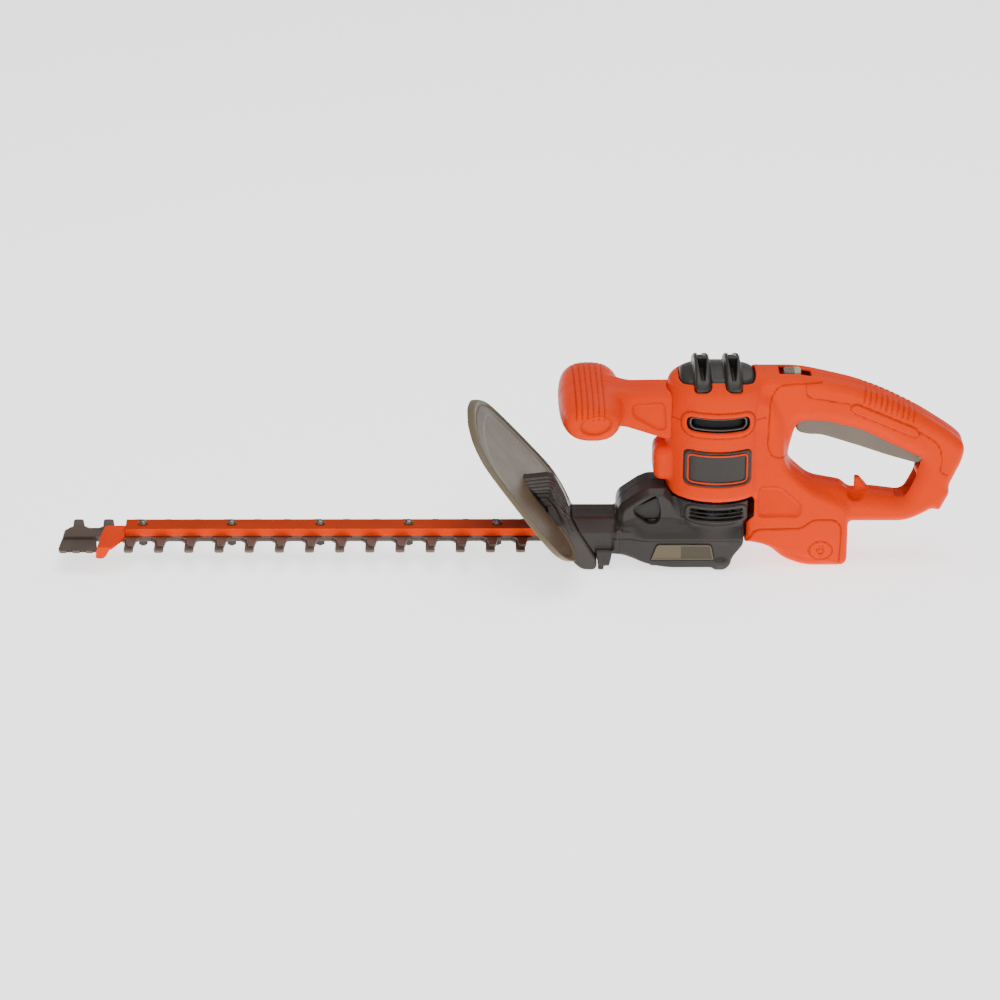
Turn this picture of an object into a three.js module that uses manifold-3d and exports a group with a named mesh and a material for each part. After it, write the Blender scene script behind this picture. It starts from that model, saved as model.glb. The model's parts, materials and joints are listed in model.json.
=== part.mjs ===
// Mains hedge trimmer with a reciprocating double blade. Millimetres, +Z up.
// The origin is the foot of the motor axis on the plane that the tool stands on;
// the blades point along -X, the rear handle along +X, and Y = 0 is the moulding split.
import * as THREE from 'three';
import { mergeVertices } from 'three/addons/utils/BufferGeometryUtils.js';
import Module from 'manifold-3d';

const wasm = await Module();
wasm.setup();

// ---- driving dimensions ----
const wall = 2.8;
const gap = 0.3;            // clearance between neighbours
const halfSplit = 0.15;     // each moulded half stops this far from Y = 0
const farAway = 900;
const facets = 26;          // sides of the large turned bodies

const barrel = { r: 46, bottom: 70, top: 187 };
const drum = { r: 43, bottom: 44, top: 69.7 };
const handleHalf = 20;
const rearHalf = 25;
const hookHalf = 5;
const caseHalf = 36;
const neckHalf = 28;
const lugHalf = 33;
const armHalf = 20;

const gear = { x: -34.2, teeth: 58, bottom: 30, top: 38, boreR: 4.08 };
const pinion = { teeth: 10, bottom: 30, top: 42 };
const toothShare = 0.9;     // tooth width over half the pitch
const throwOffset = 7;      // eccentric offset, half of each blade's stroke
const camR = 12.5;
const camUpper = { bottom: 23.05, top: 29.7 };
const camLower = { bottom: 19, top: 22.75 };
const pin = { r: 4, bottom: 4.3, top: 46 };
const shaftR = 4;

const upperBlade = { bottom: 23, top: 25.4 };
const lowerBlade = { bottom: 20.3, top: 22.7 };
const spineHalf = 10.7;
const bladeTipX = -604;
const toothPitch = 27.9;
const toothCount = 14;
const firstToothX = -543.2;
const farToothShift = 6;
const yoke = { halfX: 19, halfY: 26, slotHalfX: 14.15, slotHalfY: 19.8 };

const cover = { left: -546.8, right: -72, half: 11.2, bottom: 25.8, top: 33.6, skin: 1.5 };
const bolt = { first: -531, pitch: 82.4, count: 5, r: 2.5, headR: 4.5 };

const guard = { footX: -140.4, footZ: 32, lean: 1.218, thick: 3.2, halfWidth: 110, height: 160 };

const orange = 0xe8561c;
const charcoal = 0x3b3835;
const taupe = 0x8b8273;
const steel = 0x8d8a86;
const brass = 0xc9a24a;
const copper = 0xb8632a;
const grey = 0x969695;
const black = 0x1e1e1e;

const group = new THREE.Group();

// ---- solids and booleans ----
function solid(geometry) {
  const bare = geometry.clone();
  for (const name of Object.keys(bare.attributes)) {
    if (name !== 'position') bare.deleteAttribute(name);
  }
  const merged = mergeVertices(bare, 1e-4);
  return new wasm.Manifold(new wasm.Mesh({
    numProp: 3,
    vertProperties: new Float32Array(merged.attributes.position.array),
    triVerts: new Uint32Array(merged.index.array),
  }));
}

function geometryOf(body) {
  const mesh = body.getMesh();
  const geometry = new THREE.BufferGeometry();
  geometry.setAttribute('position', new THREE.BufferAttribute(mesh.vertProperties, 3));
  geometry.setIndex(new THREE.BufferAttribute(mesh.triVerts, 1));
  geometry.computeVertexNormals();
  return geometry;
}

const join = (...bodies) => bodies.reduce((sum, body) => sum.add(body));
const cut = (body, ...tools) => tools.reduce((rest, tool) => rest.subtract(tool), body);

function addPart(name, body, color, roughness = 0.55, metalness = 0) {
  const material = new THREE.MeshStandardMaterial({ color, roughness, metalness });
  const mesh = new THREE.Mesh(geometryOf(body), material);
  mesh.name = name;
  group.add(mesh);
}

// ---- shapes ----
// A closed outline; a point is [a, b] or [a, b, radius of its rounded corner].
function outline(points) {
  const corners = points.map(([a, b, r = 0]) => ({ at: new THREE.Vector2(a, b), r }));
  const shape = new THREE.Shape();
  corners.forEach(({ at, r }, i) => {
    const before = corners[(i + corners.length - 1) % corners.length].at;
    const after = corners[(i + 1) % corners.length].at;
    const cutOff = Math.min(r, at.distanceTo(before) / 2.5, at.distanceTo(after) / 2.5);
    const enter = at.clone().lerp(before, cutOff / at.distanceTo(before));
    const leave = at.clone().lerp(after, cutOff / at.distanceTo(after));
    if (i === 0) shape.moveTo(enter.x, enter.y);
    else shape.lineTo(enter.x, enter.y);
    if (r > 0) shape.quadraticCurveTo(at.x, at.y, leave.x, leave.y);
  });
  shape.closePath();
  return shape;
}

function rectangle(a0, a1, b0, b1, r = 0) {
  return outline([[a0, b0, r], [a1, b0, r], [a1, b1, r], [a0, b1, r]]);
}

function circle(x, y, r) {
  return new THREE.Shape().absarc(x, y, r, 0, 2 * Math.PI, false);
}

const planes = {
  XY: new THREE.Matrix4(),
  XZ: new THREE.Matrix4().makeBasis(
    new THREE.Vector3(1, 0, 0), new THREE.Vector3(0, 0, 1), new THREE.Vector3(0, -1, 0)),
  YZ: new THREE.Matrix4().makeBasis(
    new THREE.Vector3(0, 1, 0), new THREE.Vector3(0, 0, 1), new THREE.Vector3(1, 0, 0)),
};

// An outline in a plane, run between two values of the third axis, with softened edges.
function prism(shape, plane, from, to, { bevel = 0, curve = 2, bevelSteps = 1 } = {}) {
  const [start, end] = plane === 'XZ' ? [-to, -from] : [from, to];
  const geometry = new THREE.ExtrudeGeometry(shape, {
    depth: end - start - 2 * bevel,
    bevelEnabled: bevel > 0,
    bevelThickness: bevel,
    bevelSize: bevel,
    bevelOffset: -bevel,
    bevelSegments: bevelSteps,
    curveSegments: curve,
  });
  geometry.translate(0, 0, start + bevel);
  return solid(geometry.applyMatrix4(planes[plane]));
}

const block = (x0, x1, y0, y1, z0, z1) => prism(rectangle(x0, x1, y0, y1), 'XY', z0, z1);
const disc = (x, y, r, z0, z1, curve = 8) => prism(circle(x, y, r), 'XY', z0, z1, { curve });
const boreAt = (x, z0, z1) => disc(x, 0, gear.boreR, z0, z1, 12);

// A turned body about the vertical line through (x, y); profile points are [radius, height].
function turned(profile, x = 0, y = 0, segments = 32) {
  const points = profile.map(([r, z]) => new THREE.Vector2(r, z));
  const geometry = new THREE.LatheGeometry(points, segments).rotateX(Math.PI / 2);
  return solid(geometry.translate(x, y, 0));
}

// A helical spring about +Z, with open ends.
function spring({ radius, wire, bottom, top, turns }) {
  const steps = turns * 8;
  const points = [];
  for (let i = 0; i <= steps; i += 1) {
    const angle = (2 * Math.PI * turns * i) / steps;
    const z = bottom + ((top - bottom) * i) / steps;
    points.push(new THREE.Vector3(radius * Math.cos(angle), radius * Math.sin(angle), z));
  }
  const section = new THREE.Shape().absarc(0, 0, wire, 0, 2 * Math.PI, false);
  return new THREE.ExtrudeGeometry(section, {
    steps, curveSegments: 2.5, bevelEnabled: false, extrudePath: new THREE.CatmullRomCurve3(points),
  });
}

const leftSide = block(-farAway, farAway, -farAway, -halfSplit, -farAway, farAway);
const rightSide = block(-farAway, farAway, halfSplit, farAway, -farAway, farAway);

function addHalves(name, body, color, roughness) {
  addPart(`${name}_left`, body.intersect(leftSide), color, roughness);
  addPart(`${name}_right`, body.intersect(rightSide), color, roughness);
}

// ---- openings shared by neighbours ----
const lockOff = { x0: 59, x1: 86.5, half: 8 };
const inlet = { x0: 97, x1: 124, half: 15, z0: 8, z1: 36 };
const triggerPivot = { x: 190, z: 104.5, r: 2.5 };
const triggerHalf = 10;
const springX = 118;
const ridgeCentres = [-14.7, 13.7];
const badge = { inner: 45.2, outer: 46.9, bottom: 88, top: 122, half: 31.4, corner: 5 };

// ---- body shells: motor barrel, rear handle loop and inlet housing ----
function handleLoop() {
  const outer = outline([
    [0, 187], [77, 187, 14], [127, 175.3, 14], [155, 164.8, 14], [187, 148.6, 20], [219, 127.5, 12],
    [231, 117, 12], [229, 103, 12], [217.3, 77, 3], [218, 69, 4], [209.5, 51.8, 3], [202, 53.6, 3],
    [188, 45.6, 8], [176, 41.4, 6], [126, 41.4, 3], [60, 41.4], [0, 80],
  ]);
  const loop = outline([
    [66, 100, 8], [69, 118, 7], [76, 139.5, 8], [101, 139, 8], [134, 130.5, 8], [190, 102.5, 6],
    [184, 84, 8], [174.6, 65.4, 7], [143, 69.5, 4], [124.5, 69.5, 2], [117.5, 75.6, 3], [87, 81.5, 8],
  ]);
  const hook = outline([[130.2, 62], [130.2, 81, 1], [134.5, 81, 2], [144, 69.6], [146, 62]]);
  const cordChannels = [-1, 1].map((side) => disc(130.7, side * 24, 8, 64, 100));
  const ring = cut(
    prism(outer, 'XZ', -handleHalf, handleHalf, { bevel: 4.5 }),
    prism(loop, 'XZ', -farAway, farAway), ...cordChannels);
  return join(ring, prism(hook, 'XZ', -hookHalf, hookHalf));
}

function rearBody() {
  const side = outline([
    [0, 168], [50, 166, 12], [60, 140, 12], [64, 98, 12], [88, 76, 12], [124, 60, 12], [124, 0, 8],
    [84, 0, 9], [64, 7.5, 8], [52, 18.5, 10], [40, 22.5, 8], [28, 24], [28, 70], [0, 70],
  ]);
  return prism(side, 'XZ', -rearHalf, rearHalf, { bevel: 5 });
}

function barrelBody() {
  const { r, bottom, top } = barrel;
  return turned([
    [0, bottom], [r - 3, bottom], [r, bottom + 4], [r, top - 14], [r - 1, top - 9],
    [r - 4, top - 4], [r - 11, top], [0, top],
  ], 0, 0, facets);
}

const frontLobe = prism(rectangle(-58, -20, 83, 117, 8), 'XZ', -20, 20, { bevel: 5 });

function shellCavities() {
  const motorRoom = turned([
    [0, barrel.bottom - 1], [43.2, barrel.bottom - 1], [43.2, 147], [41, 172], [36, 182],
    [30, 184], [0, 184],
  ], 0, 0, facets);
  const bearingWeb = cut(
    disc(0, 0, 44.5, 157, 160), disc(0, 0, 11.5, 150, 165),
    ...[[27, 0], [0, 27], [-27, 0], [0, -27]].map(([x, y]) => disc(x, y, 8, 150, 165, 6)));
  const gripRoom = prism(outline([
    [30, 184.2], [76.5, 184.2, 12], [125, 169.8, 12], [184, 141.6, 15], [205, 128, 3], [205, 115],
    [190, 106], [134, 133.6, 8], [101, 142.2, 8], [75, 142.5, 5], [60, 150, 5], [30, 150],
  ]), 'XZ', -handleHalf + wall, handleHalf - wall, { bevel: 3 });
  const rearRoom = prism(outline([
    [38, 120], [58, 120, 5], [61, 97, 5], [83, 77, 5], [110, 63, 4], [118, 50, 3], [118, 40],
    [92, 40], [92, 3], [83, 3, 3], [73, 9, 4], [54, 24, 4], [42, 30], [42, 70],
  ]), 'XZ', -rearHalf + wall, rearHalf - wall, { bevel: 2 });
  const springStop = block(110.4, 112.6, -9, 9, 166, 178);
  return join(cut(motorRoom, bearingWeb), cut(gripRoom, springStop), rearRoom);
}

function shellOpenings() {
  const vents = prism(rectangle(-29, 29, 141, 155, 6), 'XZ', -farAway, farAway);
  const button = block(lockOff.x0, lockOff.x1, -lockOff.half, lockOff.half, 175, 200);
  const triggerSlot = prism(outline([
    [71, 152], [71, 118], [86, 118], [186, 92], [197.5, 96], [197.5, 113], [134, 140],
  ]), 'XZ', -triggerHalf - 0.6, triggerHalf + 0.6);
  const mouth = block(inlet.x0 - 1, inlet.x1 + 10, -inlet.half, inlet.half, inlet.z0, inlet.z1);
  const cordTunnel = prism(outline([[172, 90], [172, 66], [232, 58], [232, 78]]), 'XZ', -11, 11);
  return join(vents, button, triggerSlot, mouth, cordTunnel);
}

function capSeats() {
  const pad = prism(rectangle(-35.6, 35.1, -30.4, 30.4, 20), 'XY', 176.4, 220);
  return join(pad, ...ridgeCentres.map((x) => block(x - 7.8, x + 7.8, -43.9, 43.9, 172.8, 220)));
}

// A patch of a vertical ring round the motor axis, on both sides of the tool.
function ringPatch(inner, outer, z0, z1, halfX, corner) {
  const over = 5;
  const section = [
    [inner, z0 - over], [outer, z0 - over], [outer, z1 + over], [inner, z1 + over], [inner, z0 - over],
  ];
  const window = prism(rectangle(-halfX, halfX, z0, z1, corner), 'XZ', -farAway, farAway);
  return turned(section, 0, 0, facets).intersect(window);
}

function badgePatch(inner, outer, grow) {
  const { bottom, top, half, corner } = badge;
  return ringPatch(inner, outer, bottom - grow, top + grow, half + grow, corner);
}

function bodyShell() {
  const outside = join(barrelBody(), handleLoop(), rearBody(), frontLobe);
  const { x, z, r } = triggerPivot;
  const pivotHole = prism(circle(x, z, r + 0.1), 'XZ', -13.5, 13.5, { curve: 8 });
  const drumRoom = turned([
    [0, 30], [36, 30], [36, drum.bottom - 0.5], [drum.r + gap, drum.bottom + 7],
    [drum.r + gap, barrel.bottom - 0.01], [0, barrel.bottom - 0.01],
  ], 0, 0, facets);
  const caseRoom = join(drumRoom, block(-farAway, 27.5, -caseHalf - 1, caseHalf + 1, -5, 60));
  return cut(outside, shellCavities(), shellOpenings(), capSeats(),
    badgePatch(badge.inner - gap, 60, gap), pivotHole, caseRoom);
}

// ---- front T-handle ----
function crossBar(scale) {
  const half = 65 * scale;
  const profile = [[0, -1], [0.62, -1], [0.78, -0.96], [0.88, -0.88], [0.95, -0.7], [0.99, -0.4], [1, 0]];
  const mirrored = profile.slice(0, -1).reverse().map(([r, y]) => [r, -y]);
  const points = [...profile, ...mirrored].map(([r, y]) => new THREE.Vector2(r, y * half));
  const geometry = new THREE.LatheGeometry(points, 24);
  return solid(geometry.scale(31.2 * scale, 1, 20.2 * scale).translate(-115.6, 0, 155.8));
}

function frontHandle() {
  const arm = prism(outline([
    [-36, 171.4], [-100, 170.6], [-108, 140], [-90, 138, 4], [-48, 124, 2], [-36, 122],
  ]), 'XZ', -armHalf, armHalf, { bevel: 5 });
  const armRoom = prism(outline([
    [-44, 168], [-100, 167.4], [-104, 143], [-90, 141], [-49, 127.5], [-44, 127],
  ]), 'XZ', -armHalf + wall, armHalf - wall);
  const clearOfBarrel = disc(0, 0, barrel.r + gap, 60, 240, 20);
  return cut(join(arm, crossBar(1)), join(armRoom, crossBar(0.88)), clearOfBarrel);
}

// ---- vent cap with two ridges over the top of the barrel ----
function ventCap() {
  const pad = prism(rectangle(-35.2, 34.8, -30, 30, 20), 'XY', 176.8, 190.4, { bevel: 4 });
  const ridgeSide = outline([
    [-43.4, 173.4], [-43.4, 180.5, 2], [-39, 186.5, 3], [-31, 191.5, 5], [-20, 196, 6],
    [-9, 199, 6], [9, 199, 6], [20, 196, 6], [31, 191.5, 5], [39, 186.5, 3], [43.4, 180.5, 2],
    [43.4, 173.4],
  ]);
  const ridge = (x) => prism(ridgeSide, 'YZ', x - 7.3, x + 7.3, { bevel: 1.5 });
  const notch = (x, y0, y1) => prism(outline([
    [x - 4.4, 200], [x + 4.4, 200], [x + 1.2, 188.5], [x - 1.2, 188.5],
  ]), 'XZ', y0, y1);
  const notches = ridgeCentres.flatMap((x) => [notch(x, -45, -2.5), notch(x, 2.5, 45)]);
  return cut(join(pad, ...ridgeCentres.map(ridge)), ...notches,
    block(-26, 26, -18, 18, 170, 185));
}

function ventGrille() {
  const slots = [144, 149.6].map((z) => prism(rectangle(-26, 26, z, z + 2.4), 'XZ', -60, 60));
  return cut(ringPatch(39.4, 41.3, 138.5, 156.5, 31, 4), ...slots);
}

// ---- gear case ----
function caseBody() {
  const lower = prism(outline([
    [-95, 15], [-70, 8, 10], [-46, 0, 10], [12, 0, 8], [18, 12, 8], [26.5, 24, 8], [26, 44],
    [-72, 44], [-92, 40],
  ]), 'XZ', -caseHalf, caseHalf, { bevel: 4 });
  const lowerPlan = prism(outline([
    [-96, -neckHalf], [-80, -neckHalf, 8], [-66, -caseHalf, 8], [28, -caseHalf], [28, caseHalf],
    [-66, caseHalf, 8], [-80, neckHalf, 8], [-96, neckHalf],
  ]), 'XY', -1, 60);
  const hump = prism(outline([
    [-91, 40], [-90.7, 54, 2], [-88.5, 61, 4], [-70.7, 73.7, 3], [-62, 77.5, 3], [-46.5, 77.5],
    [-40, 69.7], [-20, 40],
  ]), 'XZ', -26, 26, { bevel: 4 });
  const top = turned([
    [0, 36], [34, 36], [34.5, drum.bottom], [drum.r, drum.bottom + 8], [drum.r, drum.top],
    [0, drum.top],
  ], 0, 0, facets);
  const neck = prism(outline([
    [-150, 12], [-94, 14.5, 3], [-80, 14], [-80, 47], [-150, 47],
  ]), 'XZ', -neckHalf, neckHalf, { bevel: 5 });
  const lug = prism(outline([
    [-110, 20], [-110, 5.5], [-99.5, 4], [-95, 20],
  ]), 'XZ', -lugHalf, lugHalf);
  const lugFeet = [-1, 1].map((side) => block(-108.4, -103, side * 30 - 2.5, side * 30 + 2.5, 0.2, 6));
  const barrelFront = cut(
    disc(0, 0, barrel.r + gap, barrel.bottom - 0.02, 120, 20), disc(0, 0, 20, 0, drum.top));
  return cut(join(lower.intersect(lowerPlan), hump, top, neck, lug, ...lugFeet), barrelFront);
}

function caseCavities() {
  const gearRoom = prism(outline([
    [-69, 2.9], [13, 2.9], [22, 20], [22, 43.6], [-69, 43.6],
  ]), 'XZ', -33.2, 33.2);
  const fanRoom = turned([
    [0, 40], [31, 40], [31, 46.2], [40.2, 52], [40.2, drum.top + 5], [0, drum.top + 5],
  ], 0, 0, facets);
  const plateSeat = block(-64.6, 26, -20.3, 20.3, 43.5, 46.4);
  const bladeRoom = block(-farAway, -60, -15, 15, 12, 36.5);
  const pocket = prism(outline([
    [-55, 71.5, 3], [-50.7, 56, 3], [-52.5, 46.5, 4], [-61, 44.5, 4], [-74, 52.5, 3], [-76, 58.5, 3],
  ]), 'XZ', -farAway, -22.5);
  const louvres = [0, 1, 2].map((i) =>
    prism(rectangle(-24, 24, 52.4 + 3.9 * i, 54.9 + 3.9 * i), 'XZ', -farAway, farAway)
      .intersect(ringZone(38, 60, 50, 66)));
  return join(gearRoom, fanRoom, plateSeat, bladeRoom, pocket, pocket.mirror([0, 1, 0]), ...louvres);
}

function ringZone(inner, outer, z0, z1) {
  return cut(disc(0, 0, outer, z0, z1), disc(0, 0, inner, z0 - 1, z1 + 1));
}

function nameplateShape(grow) {
  const bottom = 11.5 - grow;
  const top = 26.5 + grow;
  return outline([
    [-59.5 - grow, bottom], [-1 + grow, bottom], [-4 + grow, top, 3], [-54 - grow, top, 3],
  ]);
}

function gearCase() {
  const sockets = prism(nameplateShape(gap), 'XZ', -60, -caseHalf + 1.4);
  const aheadOfNeck = prism(outline([
    [-300, -60], [-109 + gap, -60], [-109 + gap, 9], [-142.5 + gap, 62], [-142.5 + gap, 99], [-300, 99],
  ]), 'XZ', -farAway, farAway);
  const clearOfBase = join(
    prism(rectangle(-60 - gap, 10.3, -22 - gap, 22 + gap, 4), 'XY', -1, 2.9),
    disc(gear.x, 0, 8 + gap, 0, 6, 8));
  return cut(caseBody(), caseCavities(), sockets, sockets.mirror([0, 1, 0]), clearOfBase,
    aheadOfNeck, disc(-104, -22, 2.4, -1, 12, 5), disc(-104, 22, 2.4, -1, 12, 5));
}

function caseBase() {
  const plate = prism(rectangle(-60, 10, -22, 22, 4), 'XY', 0, 2.6);
  return cut(join(plate, disc(gear.x, 0, 8, 2, 13, 8)), boreAt(gear.x, 4, 20));
}

// ---- hand guard and its bracket ----
const bracketPlan = (grow) => prism(outline([
  [-33 - grow, -10], [33 + grow, -10], [33 + grow, 0], [24 + grow, 85 + grow], [-24 - grow, 85 + grow],
  [-33 - grow, 0],
]), 'YZ', -200, -80);

function bracketBlock(grow) {
  const side = outline([
    [-133 - grow, 9, 2], [-168 - grow, 62], [-183 - grow, 80 + grow, 3], [-149, 84 + grow, 4],
    [-138 + grow, 62, 3], [-134 + grow, 48.6, 3], [-109 + grow, 9, 3], [-110 + grow, -grow, 3],
    [-124, -grow, 3],
  ]);
  return prism(side, 'XZ', -34, 34).intersect(bracketPlan(grow));
}

function guardBracket() {
  const bladeTunnel = block(-200, -80, -14, 14, 12.4, 36.4);
  return cut(bracketBlock(0), bladeTunnel);
}

function guardShield() {
  const { footX, footZ, lean, thick, halfWidth, height } = guard;
  const leaning = [1, 0, 0, 0, 0, 1, 0, 0, -1 / lean, 0, 1, 0, footX + footZ / lean, 0, 0, 1];
  const alongX = thick / Math.sin(Math.atan(lean));
  const slab = block(0, alongX, -halfWidth, halfWidth, 0, height).transform(leaning);
  const rightHalf = [
    [22, 141, 8], [58, 136, 14], [83, 124, 14], [93, 104, 12], [101, 80, 14], [107, 58, 10],
    [106, 45, 8], [93, 34, 10], [70, 27, 10], [30, 21],
  ];
  const leftHalf = rightHalf.map(([y, z, r]) => [-y, z, r]).reverse();
  const face = prism(outline([...rightHalf, ...leftHalf]), 'YZ', -farAway, 0);
  return cut(slab.intersect(face), bracketBlock(gap));
}

function guardScrew(side) {
  return join(disc(-104, side * 22, 2, 3.4, 9, 5), disc(-104, side * 22, 3.4, 0.4, 3.7, 5));
}

// ---- blades ----
// Corners of one tooth, from its left root over its tip to its right root.
function toothAt(x, side, steps) {
  const left = steps.map(([half, reach]) => [x - half, side * reach]);
  const right = steps.map(([half, reach]) => [x + half, side * reach]);
  return [...left, ...right.reverse()];
}

const upperTooth = [[9.5, spineHalf], [5, 15.5], [3, 31.3]];
const lowerTooth = [[8, spineHalf], [4.1, 16], [4.4, 36], [2.8, 38.5]];

// Spine, teeth on both edges and a yoke at the rear, as one plan outline.
function bladePlan(steps, { toothShift, farExtra, tip }) {
  const near = [];
  for (let i = 0; i < toothCount; i += 1) {
    near.push(...toothAt(firstToothX + toothShift + toothPitch * i, -1, steps));
  }
  const far = [];
  for (let i = -farExtra; i < toothCount; i += 1) {
    far.push(...toothAt(firstToothX + toothShift + farToothShift + toothPitch * i, 1, steps));
  }
  const { halfX, halfY } = yoke;
  const rear = [
    [gear.x - halfX - 8, -spineHalf], [gear.x - halfX, -halfY, 4], [gear.x + halfX, -halfY, 6],
    [gear.x + halfX, halfY, 6], [gear.x - halfX, halfY, 4], [gear.x - halfX - 8, spineHalf],
  ];
  return outline([...tip, ...near, ...rear, ...far.reverse()]);
}

function bladeSlots() {
  const { slotHalfX, slotHalfY } = yoke;
  const slots = [];
  for (let i = 0; i < bolt.count; i += 1) {
    const x = bolt.first + bolt.pitch * i;
    slots.push(prism(rectangle(x - 10.3, x + 10.3, -2.9, 2.9, 2.8), 'XY', 15, 30, { curve: 2 }));
  }
  return join(...slots, block(gear.x - slotHalfX, gear.x + slotHalfX, -slotHalfY, slotHalfY, 15, 30));
}

function upperBladeBody() {
  const tip = [[bladeTipX + 4, spineHalf], [bladeTipX, 5], [bladeTipX - 1, -spineHalf]];
  const plan = bladePlan(upperTooth, { toothShift: 2, farExtra: 2, tip });
  return cut(prism(plan, 'XY', upperBlade.bottom, upperBlade.top), bladeSlots());
}

function lowerBladeBody() {
  const tip = [[bladeTipX + 4, spineHalf], [bladeTipX, 5], [bladeTipX - 2, -12], [bladeTipX - 4, -34, 2]];
  const lobeCount = 3;
  for (let i = 0; i < lobeCount; i += 1) {
    const x = bladeTipX - 1 + 12.2 * i;
    tip.push([x - 1, -39, 1], [x + 4.4, -39, 1], [x + 6, -36.4], [x + 7.6, -38], [x + 9, -36.4]);
  }
  tip.push([-572, -34, 2], [-574, -spineHalf, 2]);
  const plan = bladePlan(lowerTooth, { toothShift: 0, farExtra: 2, tip });
  return cut(prism(plan, 'XY', lowerBlade.bottom, lowerBlade.top), bladeSlots());
}

// ---- blade cover, tip guard and the bolts that clamp the stack ----
function bladeCover() {
  const { left, right, half, bottom, top, skin } = cover;
  const channel = cut(
    prism(rectangle(-half, half, bottom, top), 'YZ', left, right),
    block(left - 5, right + 5, -half + skin, half - skin, 0, top - skin));
  const bosses = [];
  const holes = [];
  for (let i = 0; i < bolt.count; i += 1) {
    const x = bolt.first + bolt.pitch * i;
    bosses.push(disc(x, 0, 4.6, bottom, top - 1, 8));
    holes.push(disc(x, 0, bolt.r + 0.1, 0, 50, 8));
  }
  return cut(join(channel, ...bosses), ...holes);
}

function tipGuard() {
  const plate = prism(outline([
    [-537, -9.3], [-537, 9.3], [-566, 9.3, 2], [-569, -8, 6], [-571.5, -44.2, 2], [-558.5, -44.2, 2],
    [-547.4, -19, 3], [-547.4, -9.3],
  ]), 'XY', cover.bottom, 28.2);
  const lip = prism(outline([
    [-571.3, 28.2], [-573.6, 17, 3], [-565, 17, 3], [-558.6, 28.2],
  ]), 'XZ', -44.2, -41.4);
  return join(plate, lip);
}

function bladeBolt(x) {
  const { r, headR } = bolt;
  const head = turned([
    [0, 12.6], [r, 12.6], [r, 33.65], [headR, 33.65], [headR, 35], [headR - 1.2, 36.8],
    [headR - 2.6, 37.6], [0, 37.6],
  ], x, 0, 12);
  return cut(head, block(x - 6, x + 6, -0.5, 0.5, 36.4, 40));
}

function bladeNut(x) {
  const hexagon = new THREE.CylinderGeometry(4.6, 4.6, 5, 6).rotateX(Math.PI / 2);
  const flange = disc(x, 0, 5.6, 18.6, 20, 6);
  return cut(join(solid(hexagon.translate(x, 0, 16.4)), flange), disc(x, 0, bolt.r + 0.06, 0, 30, 6));
}

// ---- gear train ----
// Half of the angle that an involute tooth takes at radius r.
function halfToothAngle(teeth, r) {
  const pressure = THREE.MathUtils.degToRad(20);
  const involute = (angle) => Math.tan(angle) - angle;
  const base = (teeth / 2) * Math.cos(pressure);
  const at = Math.acos(Math.min(1, base / Math.max(r, base)));
  return (Math.PI / (2 * teeth)) * toothShare + involute(pressure) - involute(at);
}

function gearOutline(teeth, phase, boreR) {
  const pitchR = teeth / 2;
  const radii = [pitchR - 1.25, pitchR + 0.95];
  const points = [];
  for (let i = 0; i < teeth; i += 1) {
    const centre = phase + (2 * Math.PI * i) / teeth;
    const flank = (sign) => radii.map((r) => {
      const angle = centre + sign * halfToothAngle(teeth, r);
      return [r * Math.cos(angle), r * Math.sin(angle)];
    });
    points.push(...flank(-1), ...flank(1).reverse());
  }
  const shape = outline(points);
  if (boreR) shape.holes.push(new THREE.Path().absarc(0, 0, boreR, 0, 2 * Math.PI, true));
  return shape;
}

function driveGear() {
  const { teeth, bottom, top, boreR, x } = gear;
  const plan = gearOutline(teeth, Math.PI / teeth, boreR);
  const wheel = prism(plan, 'XY', bottom, top, { curve: 12 });
  const recess = cut(disc(0, 0, 23, top - 2.5, top + 1, 16), disc(0, 0, 10, top - 4, top + 2, 10));
  return cut(wheel, recess).translate([x, 0, 0]);
}

function cam({ bottom, top }, offset) {
  return cut(disc(gear.x, offset, camR, bottom, top, 14), boreAt(gear.x, bottom - 1, top + 1));
}

function gearPlate() {
  const plate = prism(rectangle(-64, 25.6, -20, 20, 6), 'XY', 43.8, 46.1);
  const cup = disc(0, 0, 14, 45, 52, 14);
  return cut(join(plate, cup), disc(0, 0, 11.3, 45.4, 60, 12), disc(0, 0, 7, 40, 60),
    boreAt(gear.x, 40, 60));
}

function bearing(bottom, top, outer) {
  return cut(disc(0, 0, outer, bottom, top, 12), boreAt(0, bottom - 1, top + 1));
}

// ---- motor ----
function armatureCore() {
  const slotCount = 12;
  const slots = [];
  for (let i = 0; i < slotCount; i += 1) {
    slots.push(block(13, 25, -1.2, 1.2, 80, 130).rotate([0, 0, (360 * i) / slotCount]));
  }
  return cut(disc(0, 0, 19, 86, 124, 16), ...slots, boreAt(0, 80, 130));
}

function fan() {
  const hub = disc(0, 0, 12, 56, 68, 10);
  const plate = disc(0, 0, 37, 66.2, 68, 16);
  const blades = [];
  const count = 12;
  for (let i = 0; i < count; i += 1) {
    blades.push(block(10, 36, -0.8, 0.8, 57, 67).rotate([0, 0, (360 * i) / count]));
  }
  return cut(join(hub, plate, ...blades), boreAt(0, 50, 70));
}

const commutator = () => cut(disc(0, 0, 12, 136, 150, 12), boreAt(0, 130, 155));

function fieldCore() {
  const coilWindow = block(-11, 11, 20, 27, 80, 130);
  return cut(disc(0, 0, 32, 84, 126, 20), disc(0, 0, 20.4, 80, 130, 20),
    coilWindow, coilWindow.mirror([0, 1, 0]));
}

function fieldCoils() {
  const ring = (z0, z1) => cut(disc(0, 0, 29, z0, z1, 14), disc(0, 0, 20.8, z0 - 1, z1 + 1, 14));
  const bar = block(-10.6, 10.6, 21.2, 26.6, 78, 132);
  return join(ring(76.5, 83.6), ring(126.4, 132), bar, bar.mirror([0, 1, 0]));
}

const brushHolder = block(-4.5, 4.5, 12.4, 33, 139, 147);

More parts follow.
